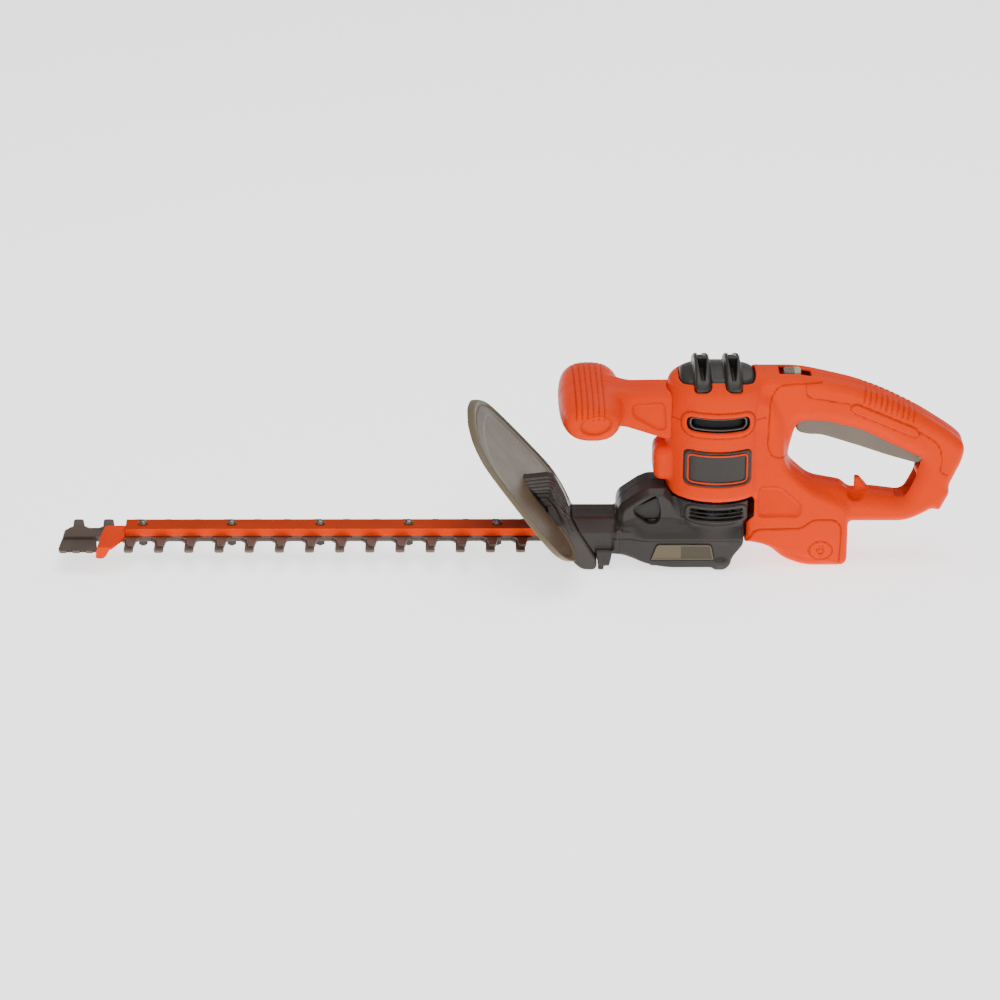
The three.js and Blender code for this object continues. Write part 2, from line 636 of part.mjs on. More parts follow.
// ---- trigger, lock-off and switch ----
function trigger() {
  const body = prism(outline([
    [73.4, 146], [73.4, 129, 4], [84, 125.6, 5], [97, 125.6, 5], [134, 113.7, 8], [160, 104.6, 8],
    [188, 96.5, 4], [195, 101, 3], [195, 108], [165, 117.2, 4], [150, 117.2, 3], [134, 134, 6],
    [101, 146.5, 4],
  ]), 'XZ', -triggerHalf, triggerHalf);
  const pivot = prism(circle(triggerPivot.x, triggerPivot.z, triggerPivot.r), 'XZ', -13, 13, { curve: 8 });
  const springSeat = disc(springX, 0, 4.4, 134, 160);
  return cut(join(body, pivot), springSeat);
}

function lockOffButton() {
  const slide = block(52, 90, -10, 10, 175.2, 178.2);
  const knob = prism(rectangle(61.4, 77.2, -7.4, 7.4, 3), 'XY', 175.5, 188.6, { bevel: 1.2 });
  const springFoot = block(87, 90, -3, 3, 167.5, 176);
  return join(slide, knob, springFoot);
}

function switchBody() {
  const body = block(146, 172, -8, 8, 127.5, 143);
  return cut(body, block(155.2, 160.8, -2.8, 2.8, 120, 137));
}

const switchPlunger = () => block(155.6, 160.4, -2.4, 2.4, 117.5, 131);

// ---- power inlet ----
function inletBlock() {
  const { x0, half, z0, z1 } = inlet;
  const body = block(x0 - 0.6, 121.5, -half + gap, half - gap, z0 + gap, z1 - gap);
  const socket = prism(rectangle(-11.5, 11.5, 12.5, 31.5, 6), 'YZ', 101, 130);
  const pinSeats = [-1, 1].map((side) => inletPin(side, 0.06));
  return cut(body, socket, ...pinSeats);
}

function inletPin(side, grow = 0) {
  const y = side * 6.35;
  return block(98.5, 117, y - 0.8 - grow, y + 0.8 + grow, 18.8 - grow, 25.2 + grow);
}

// ---- assembly ----
const shell = bodyShell();
addPart('left_shell', shell.intersect(leftSide), orange, 0.45);
addPart('right_shell', shell.intersect(rightSide), orange, 0.45);
addHalves('front_handle', frontHandle(), orange, 0.45);
addPart('vent_cap', ventCap(), charcoal, 0.5);

addHalves('vent_grille', ventGrille(), charcoal, 0.6);
addHalves('badge', badgePatch(badge.inner, badge.outer, 0), charcoal, 0.4);

addHalves('gear_case', gearCase(), charcoal, 0.5);
addPart('gear_case_base', caseBase(), charcoal, 0.5);
const nameplate = prism(nameplateShape(0), 'XZ', caseHalf - 1.1, caseHalf + 0.1);
addPart('nameplate_left', nameplate.mirror([0, 1, 0]), taupe, 0.5);
addPart('nameplate_right', nameplate, taupe, 0.5);

addPart('guard_shield', guardShield(), taupe, 0.5);
addPart('guard_bracket', guardBracket(), charcoal, 0.5);
addPart('guard_screw_left', guardScrew(-1), steel, 0.35, 1);
addPart('guard_screw_right', guardScrew(1), steel, 0.35, 1);

addPart('blade_cover', bladeCover(), orange, 0.45);
addPart('tip_guard', tipGuard(), orange, 0.5);
for (let i = 0; i < bolt.count; i += 1) {
  const x = bolt.first + bolt.pitch * i;
  addPart(`blade_bolt_${i + 1}`, bladeBolt(x), steel, 0.35, 1);
  addPart(`blade_nut_${i + 1}`, bladeNut(x), steel, 0.35, 1);
}
addPart('upper_blade', upperBladeBody(), steel, 0.4, 1);
addPart('lower_blade', lowerBladeBody(), steel, 0.4, 1);

addPart('trigger', trigger(), grey, 0.5);
const triggerSpring = spring({ radius: 3.4, wire: 0.45, bottom: 134.7, top: 169.4, turns: 6 });
addPart('trigger_spring', solid(triggerSpring.translate(springX, 0, 0)), steel, 0.3, 1);
addPart('lock_off_button', lockOffButton(), grey, 0.5);
const lockSpring = spring({ radius: 1.9, wire: 0.35, bottom: 91.6, top: 109.6, turns: 5 });
addPart('lock_off_spring', solid(lockSpring.rotateY(Math.PI / 2).translate(0, 0, 170.4)), steel, 0.3, 1);
addPart('switch_body', switchBody(), black, 0.5);
addPart('switch_plunger', switchPlunger(), grey, 0.5);

addPart('inlet_block', inletBlock(), black, 0.5);
addPart('inlet_pin_left', inletPin(-1), brass, 0.3, 1);
addPart('inlet_pin_right', inletPin(1), brass, 0.3, 1);

addPart('field_core', fieldCore(), steel, 0.5, 1);
addPart('field_coils', fieldCoils(), copper, 0.4, 1);
addPart('armature_core', armatureCore(), steel, 0.5, 1);
addPart('armature_shaft', disc(0, 0, shaftR, 42.2, 167, 12), steel, 0.25, 1);
addPart('pinion', prism(gearOutline(pinion.teeth, 0), 'XY', pinion.bottom, pinion.top), steel, 0.3, 1);
addPart('commutator', commutator(), copper, 0.3, 1);
addPart('fan', fan(), black, 0.5);
addPart('upper_bearing', bearing(156, 164, 11), steel, 0.3, 1);
addPart('lower_bearing', bearing(45.6, 52, 11), steel, 0.3, 1);
addPart('brush_holder_left', brushHolder.mirror([0, 1, 0]), brass, 0.4, 1);
addPart('brush_holder_right', brushHolder, brass, 0.4, 1);
addPart('gear_plate', gearPlate(), grey, 0.4, 1);
addPart('drive_gear', driveGear(), steel, 0.35, 1);
addPart('cam_upper', cam(camUpper, throwOffset), steel, 0.3, 1);
addPart('cam_lower', cam(camLower, -throwOffset), steel, 0.3, 1);
addPart('gear_pin', disc(gear.x, 0, pin.r, pin.bottom, pin.top, 12), steel, 0.25, 1);

export default group;
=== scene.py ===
"""Looks of a hedge trimmer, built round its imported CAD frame.

The moulded pieces are distance fields on a regular grid, in millimetres and negative inside: outlines are
run out into bodies, joined with fillets, cut with rounded edges and then turned into meshes. A piece in two
halves is modelled once, by its distance from the moulding split, and mirrored.
"""
import functools
import json
import math

import bpy
import numpy as np
import openvdb
from mathutils import Matrix, Vector


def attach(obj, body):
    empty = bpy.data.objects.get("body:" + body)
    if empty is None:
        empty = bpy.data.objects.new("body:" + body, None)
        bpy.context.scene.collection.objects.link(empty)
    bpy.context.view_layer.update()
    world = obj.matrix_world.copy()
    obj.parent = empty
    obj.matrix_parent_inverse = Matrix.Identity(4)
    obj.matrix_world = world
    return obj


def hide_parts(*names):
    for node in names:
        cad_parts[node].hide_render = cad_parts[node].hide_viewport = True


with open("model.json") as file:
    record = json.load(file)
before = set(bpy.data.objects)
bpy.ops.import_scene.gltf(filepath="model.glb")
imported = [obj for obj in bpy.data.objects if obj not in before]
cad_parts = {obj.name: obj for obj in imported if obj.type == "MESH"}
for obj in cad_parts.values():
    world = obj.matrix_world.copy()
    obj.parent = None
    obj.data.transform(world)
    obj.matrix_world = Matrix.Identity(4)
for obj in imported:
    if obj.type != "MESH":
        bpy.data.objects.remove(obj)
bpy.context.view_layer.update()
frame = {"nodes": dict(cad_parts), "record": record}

MM = 0.001
SHELL_STEP = 0.8
FINE_STEP = 0.6
KNOB_STEP = 0.8 * FINE_STEP
PLATE_STEP = 0.75 * FINE_STEP
SCREW_STEP = 0.22

# ---- driving dimensions, in millimetres, as the frame has them ----
BARREL_R = 46
BARREL_GAP = 0.35
HANDLE_HALF = 20
REAR_HALF = 25
CASE_HALF = 36
HUMP_HALF = 26
DRUM_R = 43
HOOK_HALF = 5
LUG_HALF = 33
TRIGGER_PIVOT = (190, 104.5)
SPLIT = 0.15                # from the centre plane to each half's face
PAST_SPLIT = -20            # where a body that crosses the split starts
LEFT, RIGHT = -1, 1


# ---- distance fields ----
class Room:
    """Sample points over a box; s is the distance from the moulding split, or y on a whole piece."""

    def __init__(self, low, high, step):
        self.step = step
        self.low = np.array(low, float) - 2 * step
        counts = np.ceil((np.array(high) - self.low) / step).astype(int) + 3
        self.axes = [
            (start + step * np.arange(n)).astype(np.float32) for start, n in zip(self.low, counts)
        ]
        self.x = self.axes[0][:, None, None]
        self.s = self.axes[1][None, :, None]
        self.z = self.axes[2][None, None, :]

    def rho(self, x=0, s=0):
        """Distance from an upright line."""
        return np.sqrt((self.x - x) ** 2 + (self.s - s) ** 2)

    def bore(self, x, z):
        """Distance from a line that runs straight across."""
        return np.sqrt((self.x - x) ** 2 + (self.z - z) ** 2)

    def drawn(self, plane, points, measure):
        """A measure of points drawn in a plane, the same all along the axis that isn't in it."""
        first, second = {"XZ": (0, 2), "XS": (0, 1), "SZ": (1, 2)}[plane]
        a, b = self.axes[first].astype(float), self.axes[second].astype(float)
        return np.expand_dims(measure(rounded(points), a[:, None], b[None, :]), 3 - first - second)

    def side(self, points):
        """Distance from an outline in x and z."""
        return self.drawn("XZ", points, area_distance)

    def plan(self, points):
        """Distance from an outline in x and s."""
        return self.drawn("XS", points, area_distance)

    def front(self, points):
        """Distance from an outline in s and z."""
        return self.drawn("SZ", points, area_distance)

    def line(self, points):
        """Distance from an open line in x and z."""
        return self.drawn("XZ", points, line_distance)


def rounded(points, steps=5):
    """The corners of a line, rounded off; a point is (a, b) or (a, b, size of its rounded corner)."""
    corners = [(np.array(p[:2], float), p[2] if len(p) > 2 else 0) for p in points]
    line = []
    for i, (at, r) in enumerate(corners):
        before, after = corners[i - 1][0], corners[(i + 1) % len(corners)][0]
        back, ahead = np.linalg.norm(before - at), np.linalg.norm(after - at)
        cut = min(r, back / 2.1, ahead / 2.1)
        if cut <= 0:
            line.append(at)
            continue
        enter, leave = at + (before - at) * cut / back, at + (after - at) * cut / ahead
        for t in np.linspace(0, 1, steps + 1):
            line.append((1 - t) ** 2 * enter + 2 * t * (1 - t) * at + t * t * leave)
    return np.array(line)


def rectangle(a0, a1, b0, b1, r=0):
    return rounded([(a0, b0, r), (a1, b0, r), (a1, b1, r), (a0, b1, r)])


def mirrored(points):
    """A closed outline from its right half, which is listed from the top down."""
    return points + [(-a, *rest) for a, *rest in reversed(points)]


def segment_distance(a, b, start, end):
    """The square of the distance from a straight line's stretch."""
    ea, eb = end[0] - start[0], end[1] - start[1]
    pa, pb = a - start[0], b - start[1]
    t = np.clip((pa * ea + pb * eb) / (ea * ea + eb * eb + 1e-12), 0, 1)
    return (pa - ea * t) ** 2 + (pb - eb * t) ** 2


def line_distance(points, a, b):
    """Distance from an open line of points."""
    near = np.full(np.broadcast(a, b).shape, 1e9)
    for start, end in zip(points[:-1], points[1:]):
        near = np.minimum(near, segment_distance(a, b, start, end))
    return np.sqrt(near).astype(np.float32)


def area_distance(points, a, b):
    """Signed distance from a closed outline, negative inside."""
    inside = np.zeros(np.broadcast(a, b).shape, bool)
    ring = list(points) + [points[0]]
    for start, end in zip(ring[:-1], ring[1:]):
        if start[1] != end[1]:
            reach = (b - start[1]) / (end[1] - start[1]) * (end[0] - start[0]) + start[0]
            inside ^= ((start[1] > b) != (end[1] > b)) & (a < reach)
    gap = line_distance(ring, a, b)
    return np.where(inside, -gap, gap)


def highest(*values):
    """The highest value at each point; of fields, what lies in all of them, with sharp edges."""
    return functools.reduce(np.maximum, values)


def both(a, b, r=0.0):
    """What lies in a and in b, with the edge between them rounded to radius r."""
    if r <= 0:
        return np.maximum(a, b)
    u, v = np.maximum(a + r, 0), np.maximum(b + r, 0)
    return np.minimum(np.maximum(a, b), -r) + np.sqrt(u * u + v * v)


def either(a, b, r=0.0):
    """What lies in a or in b, with a fillet of radius r between them."""
    return -both(-a, -b, r)


def without(a, b, r=0.0):
    return both(a, -b, r)


def opened(field, openings):
    """A field less each of the openings, which come with the radius of their edge."""
    for opening, edge in openings:
        field = without(field, opening, edge)
    return field


def between(v, low, high):
    return np.maximum(low - v, v - high)


def ramp(v, low, high):
    """A smooth rise from 0 to 1."""
    t = np.clip((v - low) / (high - low), 0, 1)
    return (t * t * (3 - 2 * t)).astype(np.float32)


def line_mark(distance, width):
    """1 on a line or an outline, and 0 away from it on both sides."""
    return 1 - ramp(np.abs(distance), 0.15 * width, width)


def ellipse_gap(a, b, ring):
    """About the distance from an ellipse, negative inside."""
    return (np.hypot(a / ring["rx"], b / ring["rz"]) - 1) * ring["rz"]


def turned(room, profile):
    """A body turned about the vertical axis; profile is a closed outline of (radius, height)."""
    rho = room.rho()[:, :, 0]
    radii = np.arange(0, rho.max() + 2 * room.step, room.step)
    table = area_distance(rounded(profile), radii[:, None], room.axes[2][None, :].astype(float))
    at = rho / room.step
    low = np.minimum(at.astype(int), len(radii) - 2)
    share = (at - low)[:, :, None].astype(np.float32)
    table = table.astype(np.float32)
    return table[low] * (1 - share) + table[low + 1] * share


def run_out(room, points, low, high, r=0.0, plane="XZ"):
    """An outline run between two values of the axis that isn't in its plane."""
    v = {"XZ": room.s, "XS": room.z, "SZ": room.x}[plane]
    return both(room.drawn(plane, points, area_distance), between(v, low, high), r)


# ---- meshes ----
def add_object(name, data):
    """A new object in the scene."""
    thing = bpy.data.objects.new(name, data)
    bpy.context.scene.collection.objects.link(thing)
    return thing


def mesh_object(name, verts, faces):
    """faces is a list of index arrays, each of faces with the same number of corners."""
    mesh = bpy.data.meshes.new(name)
    faces = [np.asarray(f, np.int32) for f in faces if len(f)]
    mesh.vertices.add(len(verts))
    mesh.vertices.foreach_set("co", (np.asarray(verts, float) * MM).astype(np.float32).ravel())
    corners = np.concatenate([f.ravel() for f in faces])
    sizes = np.concatenate([np.full(len(f), f.shape[1], np.int32) for f in faces])
    starts = np.concatenate([[0], np.cumsum(sizes)[:-1]])
    mesh.loops.add(len(corners))
    mesh.loops.foreach_set("vertex_index", corners)
    mesh.polygons.add(len(sizes))
    mesh.polygons.foreach_set("loop_start", starts.astype(np.int32))
    mesh.update(calc_edges=True)
    mesh.validate()
    mesh.shade_smooth()
    return add_object(name, mesh)


def skin_of(room, field):
    """Vertices and faces of a field's surface, with the faces turned outwards."""
    field = np.broadcast_to(field, [len(a) for a in room.axes])
    grid = openvdb.FloatGrid(3 * room.step)
    grid.copyFromArray(np.ascontiguousarray(np.clip(field, -3 * room.step, 3 * room.step), np.float32))
    verts, tris, quads = grid.convertToPolygons(isovalue=0.0, adaptivity=0.0)
    verts = verts * room.step + room.low
    fan = np.concatenate([tris.reshape(-1, 3), quads[:, :3], quads[:, [0, 2, 3]]]).astype(int)
    a, b, c = (verts[fan[:, i]] for i in range(3))
    if np.einsum("ij,ij->i", a, np.cross(b, c)).sum() < 0:
        tris, quads = tris[:, ::-1], quads[:, ::-1]
    return verts, [tris, quads]


def moulded(name, room, field, slot, nodes=(), side=0, body="housing", material=None, **marks):
    """A piece from a field; side is LEFT or RIGHT for a half. Each mark is a value kept on the vertices."""
    verts, faces = skin_of(room, field)
    if side:
        verts = verts * [1, side, 1]
    if side == LEFT:
        faces = [f[:, ::-1] for f in faces]
    piece = dress(mesh_object(name, verts, faces), slot, body, nodes, material)
    for mark, values in marks.items():
        layer = piece.data.attributes.new(mark, "FLOAT", "POINT")
        layer.data.foreach_set("value", np.asarray(sampled(room, values, piece, side or 1), np.float32))


def dress(piece, slot, body="housing", nodes=(), material=None):
    """Ties a piece to the frame; its material is the one of its slot, unless another is named."""
    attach(piece, body)
    if nodes:
        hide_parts(*nodes)
    piece.data.materials.append(MATERIALS[material or slot])
    return piece


def halves(stem):
    """The names of a left and a right piece, and the side of each."""
    return [(stem + "_left", LEFT), (stem + "_right", RIGHT)]


def sampled(room, values, piece, side):
    """A room's values at a piece's vertices."""
    co = np.zeros(len(piece.data.vertices) * 3, np.float32)
    piece.data.vertices.foreach_get("co", co)
    co = co.reshape(-1, 3) / MM * [1, side, 1]
    at = np.rint((co - room.low) / room.step).astype(int)
    values = np.broadcast_to(values, [len(a) for a in room.axes])
    at = np.clip(at, 0, np.array(values.shape) - 1)
    return values[at[:, 0], at[:, 1], at[:, 2]]


def lay_across(piece, at):
    """Turns a piece whose axis is +Z to point along +Y, and moves it; at is in millimetres."""
    piece.data.transform(Matrix.Translation(Vector(at) * MM) @ Matrix.Rotation(-math.pi / 2, 4, "X"))


# ---- materials ----
ORANGE = (0.80, 0.040, 0.0008)
# colour of the painted shade on the blade cover's upper face
SHADED_TOP_ORANGE = (0.30, 0.030, 0.006)
CHARCOAL = (0.026, 0.0225, 0.0195)
TAUPE = (0.100, 0.079, 0.047)
BROWN_STEEL = (0.085, 0.062, 0.050)
ORANGE_GLOSS = (1.0, 0.30, 0.10, 1)     # tint of the orange pieces' highlights, which stay warm
COVER_SHOULDER = (0.0330, 0.0334)       # heights in metres between which the painted shade on the cover's upper face starts


class Nodes:
    """A small helper to write a material's node tree in order."""

    def __init__(self, name):
        self.material = bpy.data.materials.new(name)
        self.material.use_nodes = True
        self.tree = self.material.node_tree
        self.shader = self.tree.nodes["Principled BSDF"]
        self.place = self.add("ShaderNodeTexCoord").outputs["Object"]

    def add(self, kind, **values):
        node = self.tree.nodes.new(kind)
        for key, value in values.items():
            setattr(node, key, value)
        return node

    def link(self, source, target):
        self.tree.links.new(source, target)

    def feed(self, socket, value):
        """A number, a colour or another node's output goes into a socket."""
        if isinstance(value, (int, float)):
            socket.default_value = value
        elif isinstance(value, tuple):
            socket.default_value = (*value, 1)
        else:
            self.link(value, socket)

    def noise(self, scale, detail=2.0, rough=0.5, stretch=None):
        node = self.add("ShaderNodeTexNoise")
        node.inputs["Scale"].default_value = scale
        node.inputs["Detail"].default_value = detail
        node.inputs["Roughness"].default_value = rough
        source = self.place
        if stretch:
            mapping = self.add("ShaderNodeMapping")
            mapping.inputs["Scale"].default_value = stretch
            self.link(source, mapping.inputs["Vector"])
            source = mapping.outputs["Vector"]
        self.link(source, node.inputs["Vector"])
        return node.outputs["Fac"]

    def span(self, value, *ends):
        """A value mapped from one range to another; ends are the first range's and then the second's."""
        node = self.add("ShaderNodeMapRange")
        for socket, number in zip(("From Min", "From Max", "To Min", "To Max"), ends):
            node.inputs[socket].default_value = number
        self.link(value, node.inputs["Value"])
        return node.outputs["Result"]

    def mixed(self, share, first, second):
        """A mix of two colours."""
        node = self.add("ShaderNodeMix", data_type="RGBA")
        for socket, value in ((node.inputs[0], share), (node.inputs[6], first), (node.inputs[7], second)):
            self.feed(socket, value)
        return node.outputs[2]

    def maths(self, kind, a, b):
        node = self.add("ShaderNodeMath", operation=kind)
        self.feed(node.inputs[0], a)
        self.feed(node.inputs[1], b)
        return node.outputs[0]

    def attribute(self, name):
        return self.add("ShaderNodeAttribute", attribute_name=name).outputs["Fac"]

    def edge(self, low, high):
        """1 on sharp outer edges and 0 on flats, from the mesh's own shape."""
        return self.span(self.add("ShaderNodeNewGeometry").outputs["Pointiness"], low, high, 0, 1)

    def bump(self, height, strength, distance=0.0002):
        node = self.add("ShaderNodeBump")
        node.inputs["Strength"].default_value = strength
        node.inputs["Distance"].default_value = distance
        self.link(height, node.inputs["Height"])
        self.link(node.outputs["Normal"], self.shader.inputs["Normal"])

    def finish(self, colour, roughness, **values):
        self.link(colour, self.shader.inputs["Base Color"])
        self.link(roughness, self.shader.inputs["Roughness"])
        for key, value in values.items():
            self.shader.inputs[key].default_value = value
        return self.material


def scaled(colour, share):
    return tuple(min(1.0, c * share) for c in colour)


def moulded_plastic(name, colour, rough=(0.36, 0.5), mottle=0.10, crease=0.55, grain=0.10, wear=0.35):
    """Spark-eroded moulded plastic: fine grain, faint flow mottling, dark lines and painted shade, rubbed
    edges.
    """
    n = Nodes(name)
    flow = n.span(n.noise(14, 3), 0.3, 0.7, 0, 1)
    body = n.mixed(flow, scaled(colour, 1 - mottle), scaled(colour, 1 + mottle))
    fine = n.mixed(n.span(n.noise(900, 1), 0.35, 0.65, 0, 0.16), body, scaled(colour, 0.7))
    rubbed = n.mixed(n.maths("MULTIPLY", n.edge(0.52, 0.6), wear), fine, scaled(colour, 1.35))
    # a vertex value darkens the colour: dark lines, and painted shade in hollows, recesses, trenches and
    # pockets
    shade = n.maths("MULTIPLY", n.attribute("crease"), crease)
    lined = n.mixed(shade, rubbed, scaled(colour, 0.22))
    roughness = n.span(n.maths("ADD", n.noise(500, 2), n.noise(30, 2)), 0.6, 1.4, *rough)
    n.bump(n.noise(2600, 2, 0.6), grain)
    return n, lined, roughness


def plastic(name, colour, gloss=0.32, tint=(1, 1, 1, 1), other=None, where="pale", **options):
    """Moulded plastic, with another colour where a vertex value is 1."""
    n, shade, roughness = moulded_plastic(name, colour, **options)
    if other:
        shade = n.mixed(n.attribute(where), shade, other)
    return n.finish(shade, roughness, **{"Specular IOR Level": gloss, "Specular Tint": tint})


def cover_paint(name, colour):
    """The painted channel over the blades, with painted shade laid in patches over its upper face."""
    n, shade, roughness = moulded_plastic(name, colour, rough=(0.34, 0.5), grain=0.05, wear=0.25)
    height = n.add("ShaderNodeSeparateXYZ")
    n.link(n.place, height.inputs["Vector"])
    top = n.span(height.outputs["Z"], *COVER_SHOULDER, 0, 0.8)
    shade_patches = n.span(n.noise(60, 4, 0.65, stretch=(0.3, 1, 1)), 0.35, 0.7, 0.85, 1.0)
    # painted shade: the upper face darker, in patches
    shaded_top = n.mixed(n.maths("MULTIPLY", top, shade_patches), shade, SHADED_TOP_ORANGE)
    return n.finish(shaded_top, roughness, **{"Specular IOR Level": 0.18, "Specular Tint": ORANGE_GLOSS})


def ground_steel(name, colour, rough, brush=(1, 1, 1), stain=None, wear=0.5, metallic=1.0):
    """Machined steel: brushed lines, faint staining and bright rubbed edges."""
    n = Nodes(name)
    lines = n.noise(500, 3, 0.6, stretch=brush)
    patches = n.noise(40, 4, 0.6)
    body = n.mixed(n.span(lines, 0.3, 0.7, 0, 1), scaled(colour, 0.75), scaled(colour, 1.2))
    stained = n.mixed(n.span(patches, 0.42, 0.7, 0, 0.55), body, stain or scaled(colour, 0.6))
    rubbed = n.mixed(n.maths("MULTIPLY", n.edge(0.53, 0.62), wear), stained, scaled(colour, 2.2))
    roughness = n.span(n.maths("ADD", lines, patches), 0.6, 1.4, *rough)
    n.bump(lines, 0.12)
    return n.finish(rubbed, roughness, Metallic=metallic)


FINISHES = {
    "orange_plastic": (plastic, dict(
        colour=ORANGE, gloss=0.14, tint=ORANGE_GLOSS, mottle=0.05, wear=0.15)),
    "orange_paint": (cover_paint, dict(colour=scaled(ORANGE, 1.15))),
    "tip_paint": (plastic, dict(
        colour=ORANGE, gloss=0.14, tint=ORANGE_GLOSS, mottle=0.05, grain=0.05, wear=0.3)),
    # the other colour, where the pale value is 1, is painted highlight on the bracket and the vent grilles
    "charcoal_plastic": (plastic, dict(
        colour=CHARCOAL, other=(0.15, 0.14, 0.12), mottle=0.14, crease=0.7, rough=(0.34, 0.46))),
    "taupe_plastic": (plastic, dict(
        colour=TAUPE, other=scaled(TAUPE, 1.3), where="rim", rough=(0.4, 0.55), mottle=0.06)),
    "nameplate_plastic": (plastic, dict(colour=scaled(TAUPE, 0.56), other=scaled(TAUPE, 1.15))),
    "grey_plastic": (plastic, dict(colour=(0.158, 0.135, 0.101), other=(0.42, 0.38, 0.28))),
    "black_plastic": (plastic, dict(colour=(0.008, 0.008, 0.008), gloss=0.12, mottle=0.2)),
    "blade_steel": (ground_steel, dict(
        colour=BROWN_STEEL, rough=(0.42, 0.62), brush=(12, 1, 1), stain=scaled(BROWN_STEEL, 0.55),
        metallic=0.45, wear=0.7)),
    "nut_steel": (ground_steel, dict(colour=(0.05, 0.043, 0.038), rough=(0.5, 0.7), metallic=0.6)),
    "bright_steel": (ground_steel, dict(colour=(0.16, 0.145, 0.12), rough=(0.28, 0.45), metallic=0.9)),
    "lamination_steel": (ground_steel, dict(
        colour=(0.25, 0.25, 0.26), rough=(0.4, 0.6), brush=(1, 1, 40))),
    "brass": (ground_steel, dict(colour=(0.62, 0.42, 0.16), rough=(0.2, 0.35))),
    "copper": (ground_steel, dict(colour=(0.6, 0.26, 0.12), rough=(0.3, 0.45), brush=(1, 1, 30))),
    "plate_aluminium": (ground_steel, dict(colour=(0.5, 0.5, 0.49), rough=(0.35, 0.5))),
}
MATERIALS = {name: make(name, **options) for name, (make, options) in FINISHES.items()}


# ---- body halves: outlines that the frame also has ----
HANDLE_OUTER = [
    (0, 187), (77, 187, 14), (127, 175.3, 14), (155, 164.8, 14), (187, 148.6, 20), (219, 127.5, 12),
    (231, 117, 12), (229, 103, 12), (217.3, 77, 3), (218, 69, 5), (209.5, 51.8, 3), (202, 53.6, 3),
    (188, 45.6, 8), (176, 41.4, 6), (126, 41.4, 3), (60, 41.4), (0, 80),
]
HAND_LOOP = [
    (66, 100, 8), (69, 118, 7), (76, 139.5, 8), (101, 139, 8), (134, 130.5, 8), (190, 102.5, 6),
    (184, 84, 8), (174.6, 65.4, 7), (143, 69.5, 4), (124.5, 69.5, 3), (117.5, 75.6, 3), (87, 81.5, 8),
]
CORD_HOOK = [(130.2, 62), (130.2, 81, 1), (134.5, 81, 2.5), (144, 69.6, 1), (146, 62)]
CORD_TUNNEL = [(168, 92), (168, 64), (240, 56), (240, 77)]
CORD_CHANNEL = {"x": 130.7, "s": 14, "z": 70.5, "r": 8.2}
REAR_SIDE = [
    (0, 168), (50, 166, 12), (60, 140, 12), (64, 98, 12), (88, 76, 12), (124, 60, 12), (124, 0, 8),
    (84, 0, 9), (64, 7.5, 8), (52, 18.5, 10), (40, 22.5, 8), (28, 24), (28, 70), (0, 70),
]
BARREL_SECTION = [
    (-20, 70), (42, 70), (46, 75, 3), (46, 172, 4), (45, 178.5, 4), (41, 182, 6), (34, 184.3, 8),
    (22, 186.5, 6), (-20, 186.5),
]
LOBE_SIDE = rectangle(-58, -20, 83, 117, 10)
LOBE_HALF = 20
VENT_MOUTH = rectangle(-29, 29, 141, 155, 6.5)
VENT_DEPTH = (30, 60)
TRIGGER_SLOT = [(71, 152), (71, 118), (86, 118), (186, 92), (197.5, 96), (197.5, 113), (134, 140)]
TRIGGER_SLOT_HALF = 10.6
BADGE_POCKET = rectangle(-31.7, 31.7, 87.7, 122.3, 6)
CAP_SEAT = rectangle(-35.6, 35.1, -30.4, 30.4, 20)
DRUM_SEAT = [
    (-20, 30), (36, 30), (36, 43.5), (DRUM_R + 0.3, 51), (DRUM_R + 0.3, 69.99), (-20, 69.99),
]
RIDGES = (-14.7, 13.7)      # x of the vent cap's two ridges
RIDGE_SEAT = mirrored([(42, 205), (42, 178.2), (36.4, 178.2), (36.4, 172.8)])
MOTOR_ROOM = [(-20, 69), (43.2, 69), (43.2, 147), (41, 172), (36, 182), (30, 184), (-20, 184)]
GRIP_ROOM = [
    (30, 183.6), (76.5, 183.6, 12), (125, 169, 12), (184, 140.5, 15), (205, 128, 3), (205, 115),
    (190, 108), (134, 136.2, 8), (101, 144.6, 8), (75, 145, 5), (60, 151, 5), (30, 151),
]
REAR_ROOM = [
    (38, 120), (58, 120, 5), (61, 97, 5), (80, 75, 5), (110, 61.5, 4), (118, 50, 3), (118, 40),
    (92, 40), (92, 3.5), (83, 3.5, 3), (73, 9.5, 4), (54, 24.5, 4), (42, 31), (42, 70),
]
GRIP_WALL = 3.2
REAR_WALL = 3.6
SCREWS = [(-8, 84), (57, 58), (113, 52), (206, 62), (214, 112), (110, 168), (58, 168)]
SCREW_R = 3.7
SCREW_HEIGHT = 2.4
SCREW_SEAT = 13.4           # how far from the centre plane the screws' heads sit
SCREW_WELL_R = 4.6
BEARING_WEB = (157, 160)    # heights between which a web holds the motor's top bearing

# lines and panels on its sides
INLET_PANEL = [
    (30, 26), (37, 37.5, 6), (80, 38.6, 4), (91, 47, 4), (112, 47, 8), (117.6, 40, 5), (116, 1),
]
PANEL_LINES = [
    [(96, 180.2), (55.8, 178.6, 9), (48.4, 165, 9), (46.5, 118.4, 9), (53, 108.9, 9), (67, 108.9)],
    [(80.6, 177.6), (82.6, 166, 5), (97.7, 163.8, 9), (122, 159.5)],
    [(187, 132), (204.6, 121.4, 10), (209.8, 107, 8), (207.9, 92.3, 4), (214, 89)],
    INLET_PANEL,
]
GRIP_PAD = [
    (127, 160.5, 4), (184, 136, 4), (188, 129.5, 3), (183, 126.5, 4), (126, 150.8, 4), (121.5, 156, 3),
]
REAR_RECESS = [(40, 79, 4), (60, 79, 5), (79.5, 61.5, 5), (78, 50, 4), (40, 50, 4)]
PLUG_RING = {"x": 98.6, "z": 16.4, "rx": 10.8, "rz": 9}
BARREL_CREASE_Z = 148.5


def barrel_field(room):
    lobe = both(room.side(LOBE_SIDE), room.s - LOBE_HALF, r=9)
    return either(turned(room, BARREL_SECTION), lobe, r=3)


